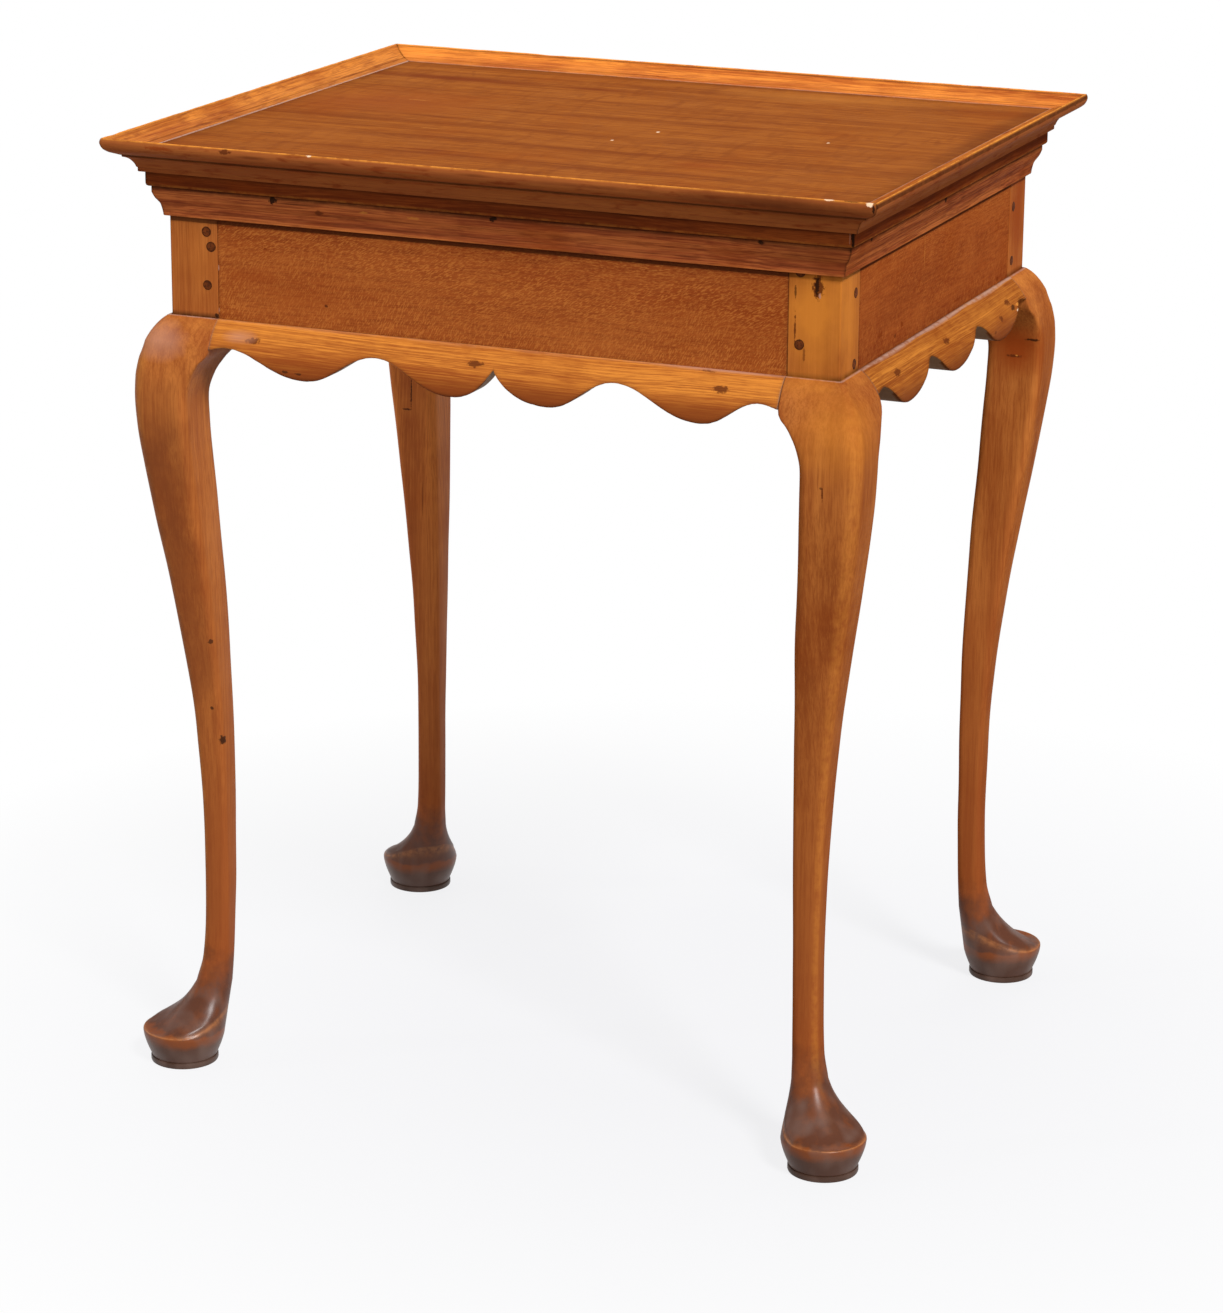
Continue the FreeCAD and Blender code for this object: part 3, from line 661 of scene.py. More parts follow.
# Tray rim, edge strips and bed mouldings. Lists by side run front, right, back, left.
rim = {
    "name": "trayRim_{}", "node": "rim_moulding_", "slot": "moulding_wood", "wood": "rim",
    # shares of the width and, going down, of the height
    "nose": ((0.90, 0.03), (0.955, 0.0), (1.0, 0.13), (0.93, 0.30), (0.79, 0.405)),
    "bevel": ((0.53, 0.50), (0.48, 0.505)),
    "cove": ((0.48, 0.56), (0.385, 0.59), (0.28, 0.66), (0.19, 0.77), (0.14, 0.88)), "fillet": 0.11,
    "hollow": ((0.0, 0.0), (0.25, 0.085), (0.5, 0.26), (0.72, 0.52), (0.90, 0.88)), "foot": 0.0004,
    "groove": 0.31, "grooveDepth": 0.0005, "grooveWidth": 0.0005, "wander": 0.0006, "gap": 0.0035,
    "tone": (1.02, 1.02, 1.38, 1.02), "figure": (1.0, 1.0, 0.35, 0.6),
    "cracks": (0.0, 0.75, 0.60, 0.25), "cracksAt": (0.885, 0.992),     # dark lines beside the crest
    "wax": (0.9, 0.5, 0.4, 0.9),        # pale polish along the board
    "marks": {"front": [
        (-191.8, -243, 707.5, 5, 6, 2, "brown", 0.9),
        (-245, -243, 706, 12, 6, 1.6, "ruddy", 0.8),
        (-171, -243, 705, 16, 6, 1.4, "brown", 0.65),
        (-126, -243, 709.8, 2.2, 3, 1, "pale", 0.95),
        (-120, -243, 705, 20, 6, 1.4, "brown", 0.5),
        (-60, -243, 704, 35, 6, 1.2, "ruddy", 0.7),
        (0, -243, 706, 16, 6, 1.4, "brown", 0.55),
        (90, -243, 705, 50, 6, 1.8, "brown", 0.45),
        (210, -243, 705, 90, 8, 6, "brown", 0.75),
        (235, -238, 696, 70, 20, 10, "brown", 0.5),
        (236.9, -242, 710, 4.5, 3, 0.9, "gold", 0.9),
        (258, -243, 710, 4, 2, 1, "pale", 0.8),
        (287, -243.2, 709, 2.8, 2, 2, "pale", 0.95),
        (289.5, -244, 706, 0.9, 3, 5, "dark", 0.9),
        (274, -242.5, 710, 8, 0.8, 0.8, "dark", 0.8),
    ]},
}
strip = {
    "name": "edgeStrip_{}", "node": "edge_strip_", "slot": "moulding_wood", "wood": "strip",
    "setBack": 0.001, "ease": 0.0003, "round": 0.0026, "gap": 0.0025,
    "marks": {"front": [
        (267.8, -220.5, 680, 1.6, 3, 6, "dark", 0.97),
        (265.5, -220.5, 680, 0.6, 3, 5, "haze", 0.3),
    ]},
}
bed = {
    "name": "bedMoulding_{}", "node": "bed_moulding_", "slot": "moulding_wood", "wood": "bed",
    "ogee": ((1.0, 0.19), (0.82, 0.39), (0.53, 0.59), (0.40, 0.80), (0.35, 0.95)),
    "ease": 0.0005, "gap": 0.0025, "tone": (1.0, 0.86, 1.0, 0.95),
    "marks": {"front": [
        (-168, -217.5, 670.5, 3.2, 4, 2.8, "dark", 0.97),
        (2.5, -217.5, 671.2, 3, 4, 2.6, "dark", 0.97),
        (201, -217.5, 672, 2.8, 4, 2.2, "dark", 0.95),
        (235, -216, 664, 45, 10, 10, "brown", 0.4),
        (-133, -216, 664, 4, 6, 2, "brown", 0.75),
        (-97.1, -216, 667.6, 4, 5, 1, "gold", 0.6),
        (-58.5, -216, 666.5, 5, 5, 1, "gold", 0.6),
        (-150, -217.5, 669, 20, 4, 0.8, "dark", 0.6),
    ], "right": [
        (265.5, -176, 671.5, 4, 2, 2, "dark", 0.85),
        (265.5, -16.2, 671.5, 4, 3.5, 2.2, "dark", 0.9),
        (263, 30, 665, 4, 6, 1.2, "brown", 0.6),
    ]},
}


def rimSection():
    width = -lowEnd("rim_moulding_front", 1) - faceY - overhang
    tall = crest - boardLow
    line = []
    for out, up in through(rim["hollow"], 8):
        cut = rim["grooveDepth"] * shade(out * width, rim["groove"] * width, rim["grooveWidth"])
        height = boardHigh + rim["foot"] + up * (crest - boardHigh) - cut
        line.append((overhang + out * width, height, 0.0))
    outside = through(rim["nose"], 6)[1:] + [*rim["bevel"]] + through(rim["cove"], 5)
    outside += [(rim["fillet"], rim["cove"][-1][1]), (rim["fillet"], 1.0), (0.0, 1.0)]
    line += [(overhang + out * width, crest - down * tall, 0.0) for out, down in outside]
    return eased(line, rim["gap"])


def stripSection():
    foot, top = lowEnd("edge_strip_front", 2), highEnd("edge_strip_front", 2)
    out = overhang - strip["setBack"]
    return eased([(0.0, top, 0.0), (out, top, strip["ease"]), (out, foot, strip["round"]),
                  (0.0, foot, 0.0)], strip["gap"])


def bedSection():
    top = highEnd("bed_moulding_front", 2)
    depth = -lowEnd("bed_moulding_front", 1) - faceY
    line = [(0.0, top, 0.0), (depth, top, bed["ease"])]
    line += [(out * depth, top - down * (top - bedFoot), 0.0) for out, down in through(bed["ogee"], 7)]
    line += [(bed["ogee"][-1][0] * depth, bedFoot, bed["ease"]), (0.0, bedFoot, 0.0)]
    return eased(line, bed["gap"])


def makeRim(side):
    half, reach = runOf(side)
    angle = sides[side]
    section = rimSection()
    rings = sweep(section, half, reach, 150)
    out = -reach - rings[..., 1] - overhang
    width = out.max()
    wander = np.abs(unevenness(rings * (1, 0.2, 0.2), 0.035, rim["wander"], angle + 1)
                    + unevenness(rings * (1, 0.3, 0.3), 0.009, rim["wander"] / 3, angle + 4))
    nose = shade(out, width, 0.006) * (rings[..., 2] > crest - 0.010)
    rings[..., 2] -= wander * nose
    rings[..., 1] += wander * nose * 0.8
    z = rings[..., 2]
    outer = (np.arange(len(section)) > section[:, 1].argmax())[None, :]
    above = z > boardHigh
    nook = shade(z, crest - rim["bevel"][1][1] * (crest - boardLow), 0.0010) \
        * (out < rim["nose"][-1][0] * width)
    groove = shade(out, rim["groove"] * width, 0.0006) * above * ~outer
    crack = np.maximum(*(shade(out, at * width, 0.0005) for at in rim["cracksAt"]))
    ages = {"rub": 0.9 * shade(z, crest, 0.0008),
            "grimeAndShade": 0.55 * fade(fromEnds(rings), 0.0006) + 0.85 * nook * outer + 0.45 * groove
            + bySide(rim, "cracks", side) * crack * (z > crest - 0.004),
            "wax": bySide(rim, "wax", side) * ((out < 0.0005) & above),
            "coat": outer * np.clip((crest - z) / 0.0012 - 0.2, 0, 1)}
    finishSide(rim, side, rings, ages, (0.7 * angle, 0.1, 0.0))


def makeEdgeStrip(side):
    angle = sides[side]
    rings = sweep(stripSection(), *runOf(side), 120)
    arris = shade(rings[..., 2], rings[..., 2].min() + 0.0010, 0.0006)
    rings[..., 1] += np.abs(unevenness(rings, 0.02, 0.00025, angle + 7)) * arris
    ages = {"rub": 0.35 * arris,
            "grimeAndShade": 0.8 * fade(fromEnds(rings), 0.0007) + 0.6 * shade(rings[..., 2], boardLow, 0.002)}
    finishSide(strip, side, rings, ages, (0.5 * angle + 3.0, 0.3, 0.1))


def makeBedMoulding(side):
    angle = sides[side]
    rings = sweep(bedSection(), *runOf(side), 120)
    z = rings[..., 2]
    foot, top = z.min(), z.max()
    rings[..., 1] += np.abs(unevenness(rings, 0.03, 0.0003, angle + 11))
    ages = {"rub": 0.15 * shade(z, foot + 0.0006, 0.0007),
            "grimeAndShade": 0.7 * fade(fromEnds(rings), 0.0007) + 0.85 * shade(z, top, 0.0026)
            + 0.30 * shade(z, foot + 0.0048, 0.0006)}
    finishSide(bed, side, rings, ages, (0.4 * angle + 7.0, 0.2, 0.2))


for side in sides:
    makeRim(side)
    makeEdgeStrip(side)
    makeBedMoulding(side)
print("mouldings are made")


# Tray board
board = {
    "wander": 0.0005,
    "marks": [      # these lie on the top, so they have no height
        (-198, 161, 85, 12, 3, "red", 0.8),
        (-82, 158, 35, 7, 3, "red", 0.6),
        (-200, 40, 90, 70, 3, "ruddy", 0.5),
        (-88, -136, 30, 5, 3, "red", 0.7),
        (100, 190, 100, 30, 3, "gold", 0.35),
        (-222, -120, 11, 0.8, 2, "dark", 0.8),
        (37, 1.4, 1.4, 2.2, 2, "pale", 0.9),
        (19.3, -43.8, 1.2, 2, 2, "pale", 0.85),
        (165.9, 11.1, 1.2, 2, 2, "pale", 0.8),
        (-121.5, -54.1, 9, 1, 2, "gold", 0.6),
        (-181, 55, 10, 1.2, 2, "gold", 0.55),
        (114.1, -110.2, 30, 12, 2, "ruddy", 0.35),
        (240, -208, 35, 10, 2, "brown", 0.55),
        (262, 90, 12, 130, 2, "brown", 0.4),
    ],
}


def makeBoard():
    lowest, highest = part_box("tray_board")
    section = eased([(y, z, 0.0) for y, z in ((lowest[1], boardLow), (highest[1], boardLow),
                                              (highest[1], boardHigh), (lowest[1], boardHigh))], 0.006)
    rings = extruded(section, np.linspace(lowest[0], highest[0], 100))
    top = rings[..., 2] > boardHigh - 0.0001
    rings[..., 2] -= np.abs(unevenness(rings, 0.11, board["wander"], 21)) * top
    edge = np.minimum(highest[0] - np.abs(rings[..., 0]), highest[1] - np.abs(rings[..., 1]))
    ages = {"grimeAndShade": 0.30 * top * fade(edge, 0.007) + 0.35 * (rings[..., 2] < boardLow + 0.001)}
    marks = [(x, y, boardHigh / mm, *rest) for x, y, *rest in board["marks"]]
    material = makeWood("boardWood", "board", shift=(4.0, 1.3, 0.4), marks=marks)
    finishPiece("trayBoard", ringMesh("trayBoard", [rings], ages), material,
                "tray_board")


# Rails
rail = {
    "name": "rail_{}_board", "node": "rail_", "slot": "rail_wood", "wood": "rail",
    "ease": 0.0004, "gap": 0.0001, "wander": 0.0004,
    "tone": (0.94, 0.97, 0.95, 0.95), "figure": (1.0, 0.55, 0.8, 0.8),
    "marks": {"front": [
        (-150, -208, 600, 70, 40, 23, "ruddy", 0.4),
        (-190, -208, 612, 26, 40, 6, "ruddy", 0.5),
        (-131.7, -208, 596, 1.4, 3, 1.2, "brown", 0.95),
        (-179.6, -208, 633.1, 1.4, 3, 0.8, "red", 0.8),
        (-217.3, -208, 616, 0.6, 3, 2.2, "haze", 0.7),
        (-217.6, -208, 585.2, 0.6, 3, 1.8, "haze", 0.7),
    ], "right": [
        (256, -77.9, 592.5, 3, 3, 2.4, "red", 0.8),
        (256, 143.5, 582.3, 3, 3, 2, "red", 0.75),
        (256, -92.6, 586.8, 3, 2, 1.8, "brown", 0.8),
        (256, -125.2, 594.2, 3, 5, 2.2, "red", 0.7),
        (256, 46.9, 585.2, 3, 10, 1.2, "red", 0.6),
        (256, -31.2, 636.8, 3, 0.8, 12, "gold", 0.35),
    ]},
}


def makeRail(side):
    half, reach = runOf(side)
    angle = sides[side]
    depth = highEnd("rail_front", 1) + faceY
    section = eased([(out, height, rail["ease"]) for out, height in (
        (0.0, boardLow), (0.0, railFoot), (-depth, railFoot), (-depth, boardLow))], 0.006)
    rings = sweep(section, half - postSize, reach, 90, mitre=False, gap=rail["gap"])
    front = rings[..., 1] < -reach + 0.0005
    rings[..., 1] += np.abs(unevenness(rings, 0.08, rail["wander"], angle + 15)) * front
    ages = {"grimeAndShade": front * (0.55 * fade(fromEnds(rings), 0.0009)
                              + 0.45 * fade(np.abs(rings[..., 2] - seam), 0.0012))}
    finishSide(rail, side, rings, ages, (0.0, 0.6 * angle, 0.02 * angle))


makeBoard()
for side in sides:
    makeRail(side)
print("board and rails are made")


# Skirts
skirt = {
    "name": "skirtStrip_{}", "node": "skirt_", "slot": "skirt_wood", "wood": "skirt",
    "swell": 0.0184, "archDepth": 0.014, "shoulder": 0.020, "spare": 0.038,
    "start": ((0.0, 0.136), (0.15, 0.337), (0.35, 0.533), (0.65, 0.761), (1.0, 0.951)),
    "end": ((0.28, 1.0), (0.58, 1.0), (1.0, 0.935)), "wander": 0.0004, "gap": 0.00012,
    "cuspPulls": (0.55, 0.18, 0.42), "endArchInset": 0.013, "arris": 0.0008, "saw": 0.00035,
    "wax": (0.12, 0.70, 0.4, 0.5),      # pale polish left on the ledge
    "tone": (0.95, 0.76, 0.92, 0.92), "nailStain": 6.0,
    "marks": {"front": [
        (-155.9, -224, 549.4, 2.5, 6, 1, "dark", 0.7),
        (-145.6, -224, 548.9, 2.5, 6, 1, "dark", 0.7),
        (161.6, -216, 578.1, 6, 8, 1, "brown", 0.7),
        (-196, -220, 570, 14, 10, 5, "haze", 0.5),
        (150, -224, 526, 70, 20, 18, "blond", 0.3),
        (170, -209.8, seam / mm, 60, 6, 1, "haze", 0.8),
    ], "right": [
        (268, -165.5, 580.3, 10, 3, 2, "dark", 0.6),
        (270, 136, 563.2, 10, 5, 2, "dark", 0.75),
        (270, 104, 561.2, 10, 4, 2.2, "brown", 0.8),
        (270.5, 148, 563.5, 4, 5, 1.2, "gold", 0.9),
        (270.5, 156, 562.5, 4, 3, 1.2, "pale", 0.85),
        (271.5, 144, 560, 4, 2.6, 0.9, "pale", 0.8),
        (270, 85.2, 554.4, 10, 4, 1.4, "brown", 0.7),
    ]},
}
# places along a side are shares of half its length, and pulls set how flat each turn is
longEdge = {"depth": 0.0355, "endArch": 0.0175, "corner": 0.020, "cusp": (0.023,),
            "lobes": (-0.650, -0.124, 0.216, 0.741), "arches": (-0.397, 0.443),
            "pulls": {"lobe": 0.42, "arch": 0.40, "endArch": 0.40, "corner": 0.1}}
shortEdge = {"depth": 0.034, "endArch": 0.014, "corner": 0.016, "cusp": (),
             "lobes": (-0.630, 0.0, 0.630), "arches": (-0.315, 0.315),
             "pulls": {"lobe": 0.56, "arch": 0.24, "endArch": 0.24, "corner": 0.1}}


def bulge(drop):
    # how far the round stands out at this drop below the seam
    shoulder, spare = skirt["shoulder"], skirt["spare"]
    points = [(share * shoulder, out) for share, out in skirt["start"]]
    points += [(shoulder + share * (spare - shoulder), out) for share, out in skirt["end"]]
    return skirt["swell"] * curveAt(points, drop)


def bezier(a, b, c, d, steps):
    a, b, c, d = (np.array(p, float) for p in (a, b, c, d))
    return [a * (1 - t) ** 3 + b * 3 * t * (1 - t) ** 2 + c * 3 * t * t * (1 - t) + d * t ** 3
            for t in np.linspace(0, 1, steps + 1)[:-1]]


def sawnLine(edge, end):
    # (x, drop) along the scalloped lower edge, left to right
    marks = [("lobe", share * end, edge["depth"]) for share in edge["lobes"]]
    marks += [("arch", share * end, skirt["archDepth"]) for share in edge["arches"]]
    marks += [("cusp", share * end, skirt["archDepth"]) for share in edge["cusp"]]
    for way in (-1, 1):
        marks += [("endArch", way * (end - skirt["endArchInset"]), edge["endArch"]),
                  ("corner", way * end, edge["corner"])]
    marks.sort(key=lambda mark: mark[1])
    level, near, steep = skirt["cuspPulls"]
    line = []
    for (kind, x, drop), (nextKind, nextX, nextDrop) in zip(marks, marks[1:]):
        across, fall = nextX - x, nextDrop - drop
        if nextKind == "cusp":
            poles = ((x + level * across, drop), (nextX - near * across, nextDrop - steep * fall))
        elif kind == "cusp":
            poles = ((x + near * across, drop + steep * fall), (nextX - level * across, nextDrop))
        else:
            poles = ((x + edge["pulls"][kind] * across, drop),
                     (nextX - edge["pulls"][nextKind] * across, nextDrop))
        line += bezier((x, drop), *poles, (nextX, nextDrop), 26)
    return line + [np.array((end, edge["corner"]))]


def skirtRing(x, drop, reach):
    # one section, from the ledge down the round to the sawn edge and back
    arris = skirt["arris"]
    lip, foot = bulge(0.0), bulge(drop)
    ring = [(0.0, 0.0), (lip - arris, 0.0), (lip - 0.3 * arris, 0.12 * arris)]
    ring += [(bulge(down), down) for down in np.linspace(0.4 * arris, drop - 1.1 * arris, 21)]
    ring += [(foot - 0.12 * arris, drop - 0.4 * arris), (foot - 0.45 * arris, drop - 0.1 * arris)]
    ring += [(out, drop) for out in np.linspace(foot - arris, 0.0, 7)]
    return [(x, -reach - out, seam - down) for out, down in ring]


def makeSkirt(side):
    half, reach = runOf(side)
    angle = sides[side]
    line = sawnLine(longEdge if side in ("front", "back") else shortEdge,
                    half - postSize - skirt["gap"])
    rings = np.array([skirtRing(x, drop, reach) for x, drop in line])
    foot = np.array([drop for x, drop in line])[:, None]
    under = (seam - rings[..., 2]) / foot
    sawn = under > 0.985
    tooth = np.array([noise.noise(Vector((x * 900, drop * 900, 3.0))) for x, drop in line])
    rings[..., 2] += skirt["saw"] * np.abs(tooth)[:, None] * sawn
    wander = np.abs(unevenness(rings, 0.025, skirt["wander"], angle + 31))
    rings[..., 1] += wander * (under > 0.05)
    out, down = -reach - rings[..., 1], seam - rings[..., 2]
    inner = sawn & (out < bulge(0.03) - 0.0014)
    ledge = down < 0.0006
    # painted shade: the grime grows towards the bottom of the round, away from the ledge
    ages = {"rub": 0.15 * shade(down, 0.006, 0.006), "coat": 1.0 * inner,
            "grimeAndShade": 0.30 * inner + 0.85 * fade(np.abs(foot - down), 0.0010) * ~inner
            + 0.15 * np.clip((down - 0.020) / 0.016, 0, 1) * ~sawn
            + 0.55 * fade(fromEnds(rings), 0.0008) + 0.8 * (ledge & (out < 0.0009)),
            "wax": bySide(skirt, "wax", side) * (ledge & (out >= 0.0009))
            + 0.3 * fade(fromEnds(rings), 0.0005)}
    nails = spin(np.array(rodsOf("skirt_nails_" + side, angle)[0]), angle) / mm
    size = skirt["nailStain"]
    stains = [(*nail, size, size, 0.4 * size, "brown", 0.85) for nail in nails.tolist()]
    finishSide(skirt, side, rings, ages, (0.3 * angle + 1.0, 0.5, 0.0), stains, 40.0)


for side in sides:
    makeSkirt(side)
print("skirts are made")


# Legs
leg = {
    "footOffset": 0.0028, "padHeight": 0.026, "discRadius": 0.0256, "disc": 0.0048,
    "discEase": 0.0010, "swell": 0.0241, "crown": 0.0004, "postEase": 0.0009, "rough": 0.0007,
    # share of the height from pad to seam, projection / swell, thickness / post
    "curve": ((0.062, -0.083, 0.682), (0.098, -0.278, 0.568), (0.152, -0.357, 0.534),
              (0.224, -0.394, 0.524), (0.315, -0.378, 0.545), (0.423, -0.261, 0.624),
              (0.532, -0.025, 0.742), (0.640, 0.303, 0.903), (0.731, 0.614, 1.026),
              (0.803, 0.838, 1.113), (0.857, 0.967, 1.161), (0.893, 1.000, 1.174),
              (0.920, 0.975, 1.242), (0.944, 0.888, 1.363)),
    # share of the height, roundness of the outer corner and of the others
    "rounding": ((0.062, 0.84, 0.88), (0.152, 0.72, 0.62), (0.315, 0.62, 0.46),
                 (0.532, 0.58, 0.38), (0.731, 0.56, 0.34), (0.893, 0.54, 0.28),
                 (0.944, 0.44, 0.10), (0.964, 0.32, 0.05), (1.0, 0.12, 0.05)),
    # radius and height up the side of the pad, from the disc to its widest and in to the rim
    "side": ((0.0249, 0.0052), (0.0257, 0.0072), (0.0284, 0.0138), (0.0303, 0.0200), (0.0310, 0.0242)),
    "lip": ((0.0310, 0.0242), (0.0309, 0.0258), (0.0302, 0.0266)),
    # share of the way from the rim in to the ankle, and height above the rim
    "dish": ((0.0, 0.0), (0.06, -0.0005), (0.14, 0.0), (0.28, 0.0030), (0.42, 0.0072),
             (0.58, 0.0128), (0.74, 0.0193), (0.88, 0.0262), (1.0, 0.0336)),
    "flank": ((0.0, 0.0), (0.04, 0.0020), (0.09, 0.0038), (0.20, 0.0062), (0.42, 0.0111),
              (0.58, 0.0152), (0.74, 0.0204), (0.88, 0.0262), (1.0, 0.0336)),
    "flankFrom": (15.0, 75.0),          # the dish turns into the flank between these angles
    # the rim climbs the back of the leg between these angles from the toe, to this share
    "heel": (66.0, 160.0), "climb": 0.55,
    # the back-left leg's tone is raised as painted light, making up for the shade the table casts on it
    "tone": {"front_left": 0.90, "front_right": 0.84, "back_left": 1.42, "back_right": 0.86},
    "shine": {"front_left": 0.50, "front_right": 0.04, "back_left": 0.80, "back_right": 0.03},
    "marks": {"front_left": [
        (-226.7, -199.1, 255.6, 3, 4, 3.6, "dark", 0.9),
        (-230, -208.3, 334.2, 2.2, 2.4, 1.8, "dark", 0.85),
        (-233.4, -203.3, 281, 1.8, 3, 1.5, "dark", 0.8),
        (-219.5, -208, 581, 1.6, 4, 2, "dark", 0.9),
        (-262, -240, 445, 40, 30, 100, "umber", 1.0),
        (-252, -225, 330, 35, 30, 100, "umber", 0.9),
        (-237, -208, 625, 30, 20, 50, "blond", 0.15),
        # painted sheen on the front-left knee
        (-260, -230, 564, 26, 25, 16, "haze", 0.6),
    ], "front_right": [
        (237, -208, 625, 32, 30, 60, "blond", 0.85),
        (256, -190, 625, 8, 30, 60, "blond", 0.6),
        (239.2, -208, 642.7, 4.2, 3, 9, "brown", 0.9),
        (238.5, -208, 643.5, 1.6, 3, 6.5, "dark", 0.9),
        (240.8, -208, 636.5, 0.9, 3, 2.2, "haze", 0.8),
        (262, -222, 545, 35, 35, 35, "blond", 0.5),
        (226.7, -208, 654.7, 3, 3, 3, "dark", 0.8),
        (223.2, -208, 638, 0.8, 3, 6, "dark", 0.7),
        (223.2, -208, 613, 0.7, 3, 11, "brown", 0.9),
        (230, -208, 595, 1, 3, 6, "brown", 0.6),
        (252.7, -231.5, 509.2, 1.5, 6, 1, "dark", 0.6),
        (253.8, -231.3, 505, 0.7, 6, 5, "brown", 0.9),
    ], "back_left": [
        (-251.4, 185, 435, 0.7, 12, 12, "dark", 0.9),
        (-255, 185, 421.5, 3.8, 12, 1, "dark", 0.9),
        (-239.5, 185, 348, 0.6, 12, 16, "dark", 0.6),
        (-222.9, 185, 243.1, 1.6, 12, 4, "dark", 0.8),
    ], "back_right": [
        (258.6, 187, 523, 30, 20, 28, "ruddy", 1.0),
        (272.6, 186, 528.1, 6.5, 6, 1.1, "dark", 0.85),
        (258.4, 186, 514, 6, 6, 1.3, "brown", 0.9),
        (260, 186, 514.6, 1.2, 6, 0.7, "gold", 0.8),
        (256, 190, 625, 8, 30, 60, "ruddy", 0.85),
    ]},
}
# angles from each corner of the section, close together where the corner is rounded
cornerSteps = (0.0, 0.5, 1.0, 1.5, 2.2, 4.0, 7.5, 11.5, 16.0, 21.0, 27.0, 33.0, 39.0, 45.0)
legWays = np.radians(sorted({(45 + 90 * k + way * step) % 360 for k in range(4)
                             for step in cornerSteps for way in (-1, 1)}))


def legRing(z, outer, inner, roundOuter, roundOther, crown=0.0):
    # square with rounded corners, its outer corner towards +X and +Y
    half, middle = (outer - inner) / 2, (outer + inner) / 2
    across, along = np.cos(legWays), np.sin(legWays)
    isOuter = (across > 0) & (along > 0)
    radius = np.where(isOuter, roundOuter, roundOther) * half
    u, v = np.abs(across), np.abs(along)
    big, small = np.maximum(u, v), np.minimum(u, v)
    straight = half - radius
    onFlat = half * small / big <= straight
    total = straight * (u + v)
    arc = total + np.sqrt(np.maximum(total ** 2 - 2 * straight ** 2 + radius ** 2, 0.0))
    reach = np.where(onFlat, half / big, arc)
    lift = np.where(onFlat, crown * (1 - (half * small / big / np.maximum(straight, 1e-6)) ** 2), 0)
    reach = reach * (1 + lift / half)
    return np.stack([middle + reach * across, middle + reach * along,
                     np.full_like(reach, z)], axis=1)


def discRing(radius, z):
    centre = leg["footOffset"]
    return legRing(z, centre + radius, centre - radius, 1.0, 1.0)


def eachWay(fromToe, start, end):
    # smooth rise from 0 to 1 between two angles from the toe
    share = np.clip((fromToe - start) / (end - start), 0, 1)
    return share * share * (3 - 2 * share)


def footRings():
    # disc, groove, pad, lip and dish, up to the ankle
    disc, radius, ease = leg["disc"], leg["discRadius"], leg["discEase"]
    base = [(radius - ease, 0.0), (radius - 0.3 * ease, 0.3 * ease), (radius, ease),
            (radius, disc - ease), (radius - 0.3 * ease, disc - 0.3 * ease), (radius - ease, disc)]
    rings = [discRing(*point) for point in base + through(leg["side"], 4)[:-1]]
    circle = discRing(*leg["side"][-1])
    share, out, thick = leg["curve"][0]
    outer = out * leg["swell"]
    ankle = legRing(leg["padHeight"] + share * (seam - leg["padHeight"]), outer,
                    outer - thick * postSize, *leg["rounding"][0][1:])
    fromToe = np.abs((np.degrees(legWays) - 45 + 180) % 360 - 180)
    flank = eachWay(fromToe, *leg["flankFrom"])
    heel = eachWay(fromToe, *leg["heel"])[:, None]
    climb = leg["climb"]
    lip = through(leg["lip"], 3)
    for i, point in enumerate(lip):
        onHeel = circle + (ankle - circle) * climb * i / (len(lip) - 1)
        rings.append(discRing(*point) * (1 - heel) + onHeel * heel)
    lipIndex = len(rings) - 1
    rim = discRing(*lip[-1])
    for way in np.linspace(0, 1, 30)[1:]:
        onToe = rim + (ankle - rim) * way
        onToe[:, 2] = lip[-1][1] + curveAt(leg["dish"], way) * (1 - flank) \
            + curveAt(leg["flank"], way) * flank
        onHeel = circle + (ankle - circle) * (climb + (1 - climb) * way)
        rings.append(onToe * (1 - heel) + onHeel * heel)
    return rings, lipIndex, heel[:, 0]


def legRings():
    rings, lipIndex, heel = footRings()
    padTop, span = leg["padHeight"], seam - leg["padHeight"]
    curve, shoulder = leg["curve"], skirt["shoulder"]
    ankleShare, kneeShare, lastShare = curve[0][0], 1 - shoulder / span, curve[-1][0]
    lastOuter = curve[-1][1] * leg["swell"]
    lastInner = lastOuter - curve[-1][2] * postSize

    def cornersAt(here):
        return curveAt(leg["rounding"], here), curveAt(leg["rounding"], here, 2)

    for here in np.linspace(ankleShare, kneeShare, 150)[1:-1]:
        if here < lastShare:
            outer = curveAt(curve, here) * leg["swell"]
            inner = outer - curveAt(curve, here, 2) * postSize
        else:
            way = (here - lastShare) / (kneeShare - lastShare)
            outer = lastOuter + (bulge(shoulder) - lastOuter) * way
            inner = lastInner + (-postSize - lastInner) * (1 - (1 - way) ** 2)
        crown = leg["crown"] * math.sin(math.pi * (here - ankleShare) / (kneeShare - ankleShare))
        rings.append(legRing(padTop + here * span, outer, inner, *cornersAt(here), crown))
    for drop in np.linspace(shoulder, 0.0005, 24):
        rings.append(legRing(seam - drop, bulge(drop), -postSize, *cornersAt(1 - drop / span)))
    lip = bulge(0.0)
    post = leg["postEase"] / (postSize / 2)
    for z, outer, rounding in ((seam - 0.0001, lip - 0.0002, 0.11), (seam, lip - 0.0007, 0.10),
                               (seam, 0.0004, post), (seam + 0.0002, 0.0, post)):
        rings.append(legRing(z, outer, -postSize, rounding, post))
    rings += [legRing(z, 0.0, -postSize, post, post) for z in np.linspace(seam + 0.004, boardLow, 22)]
    return np.array(rings), lipIndex, heel


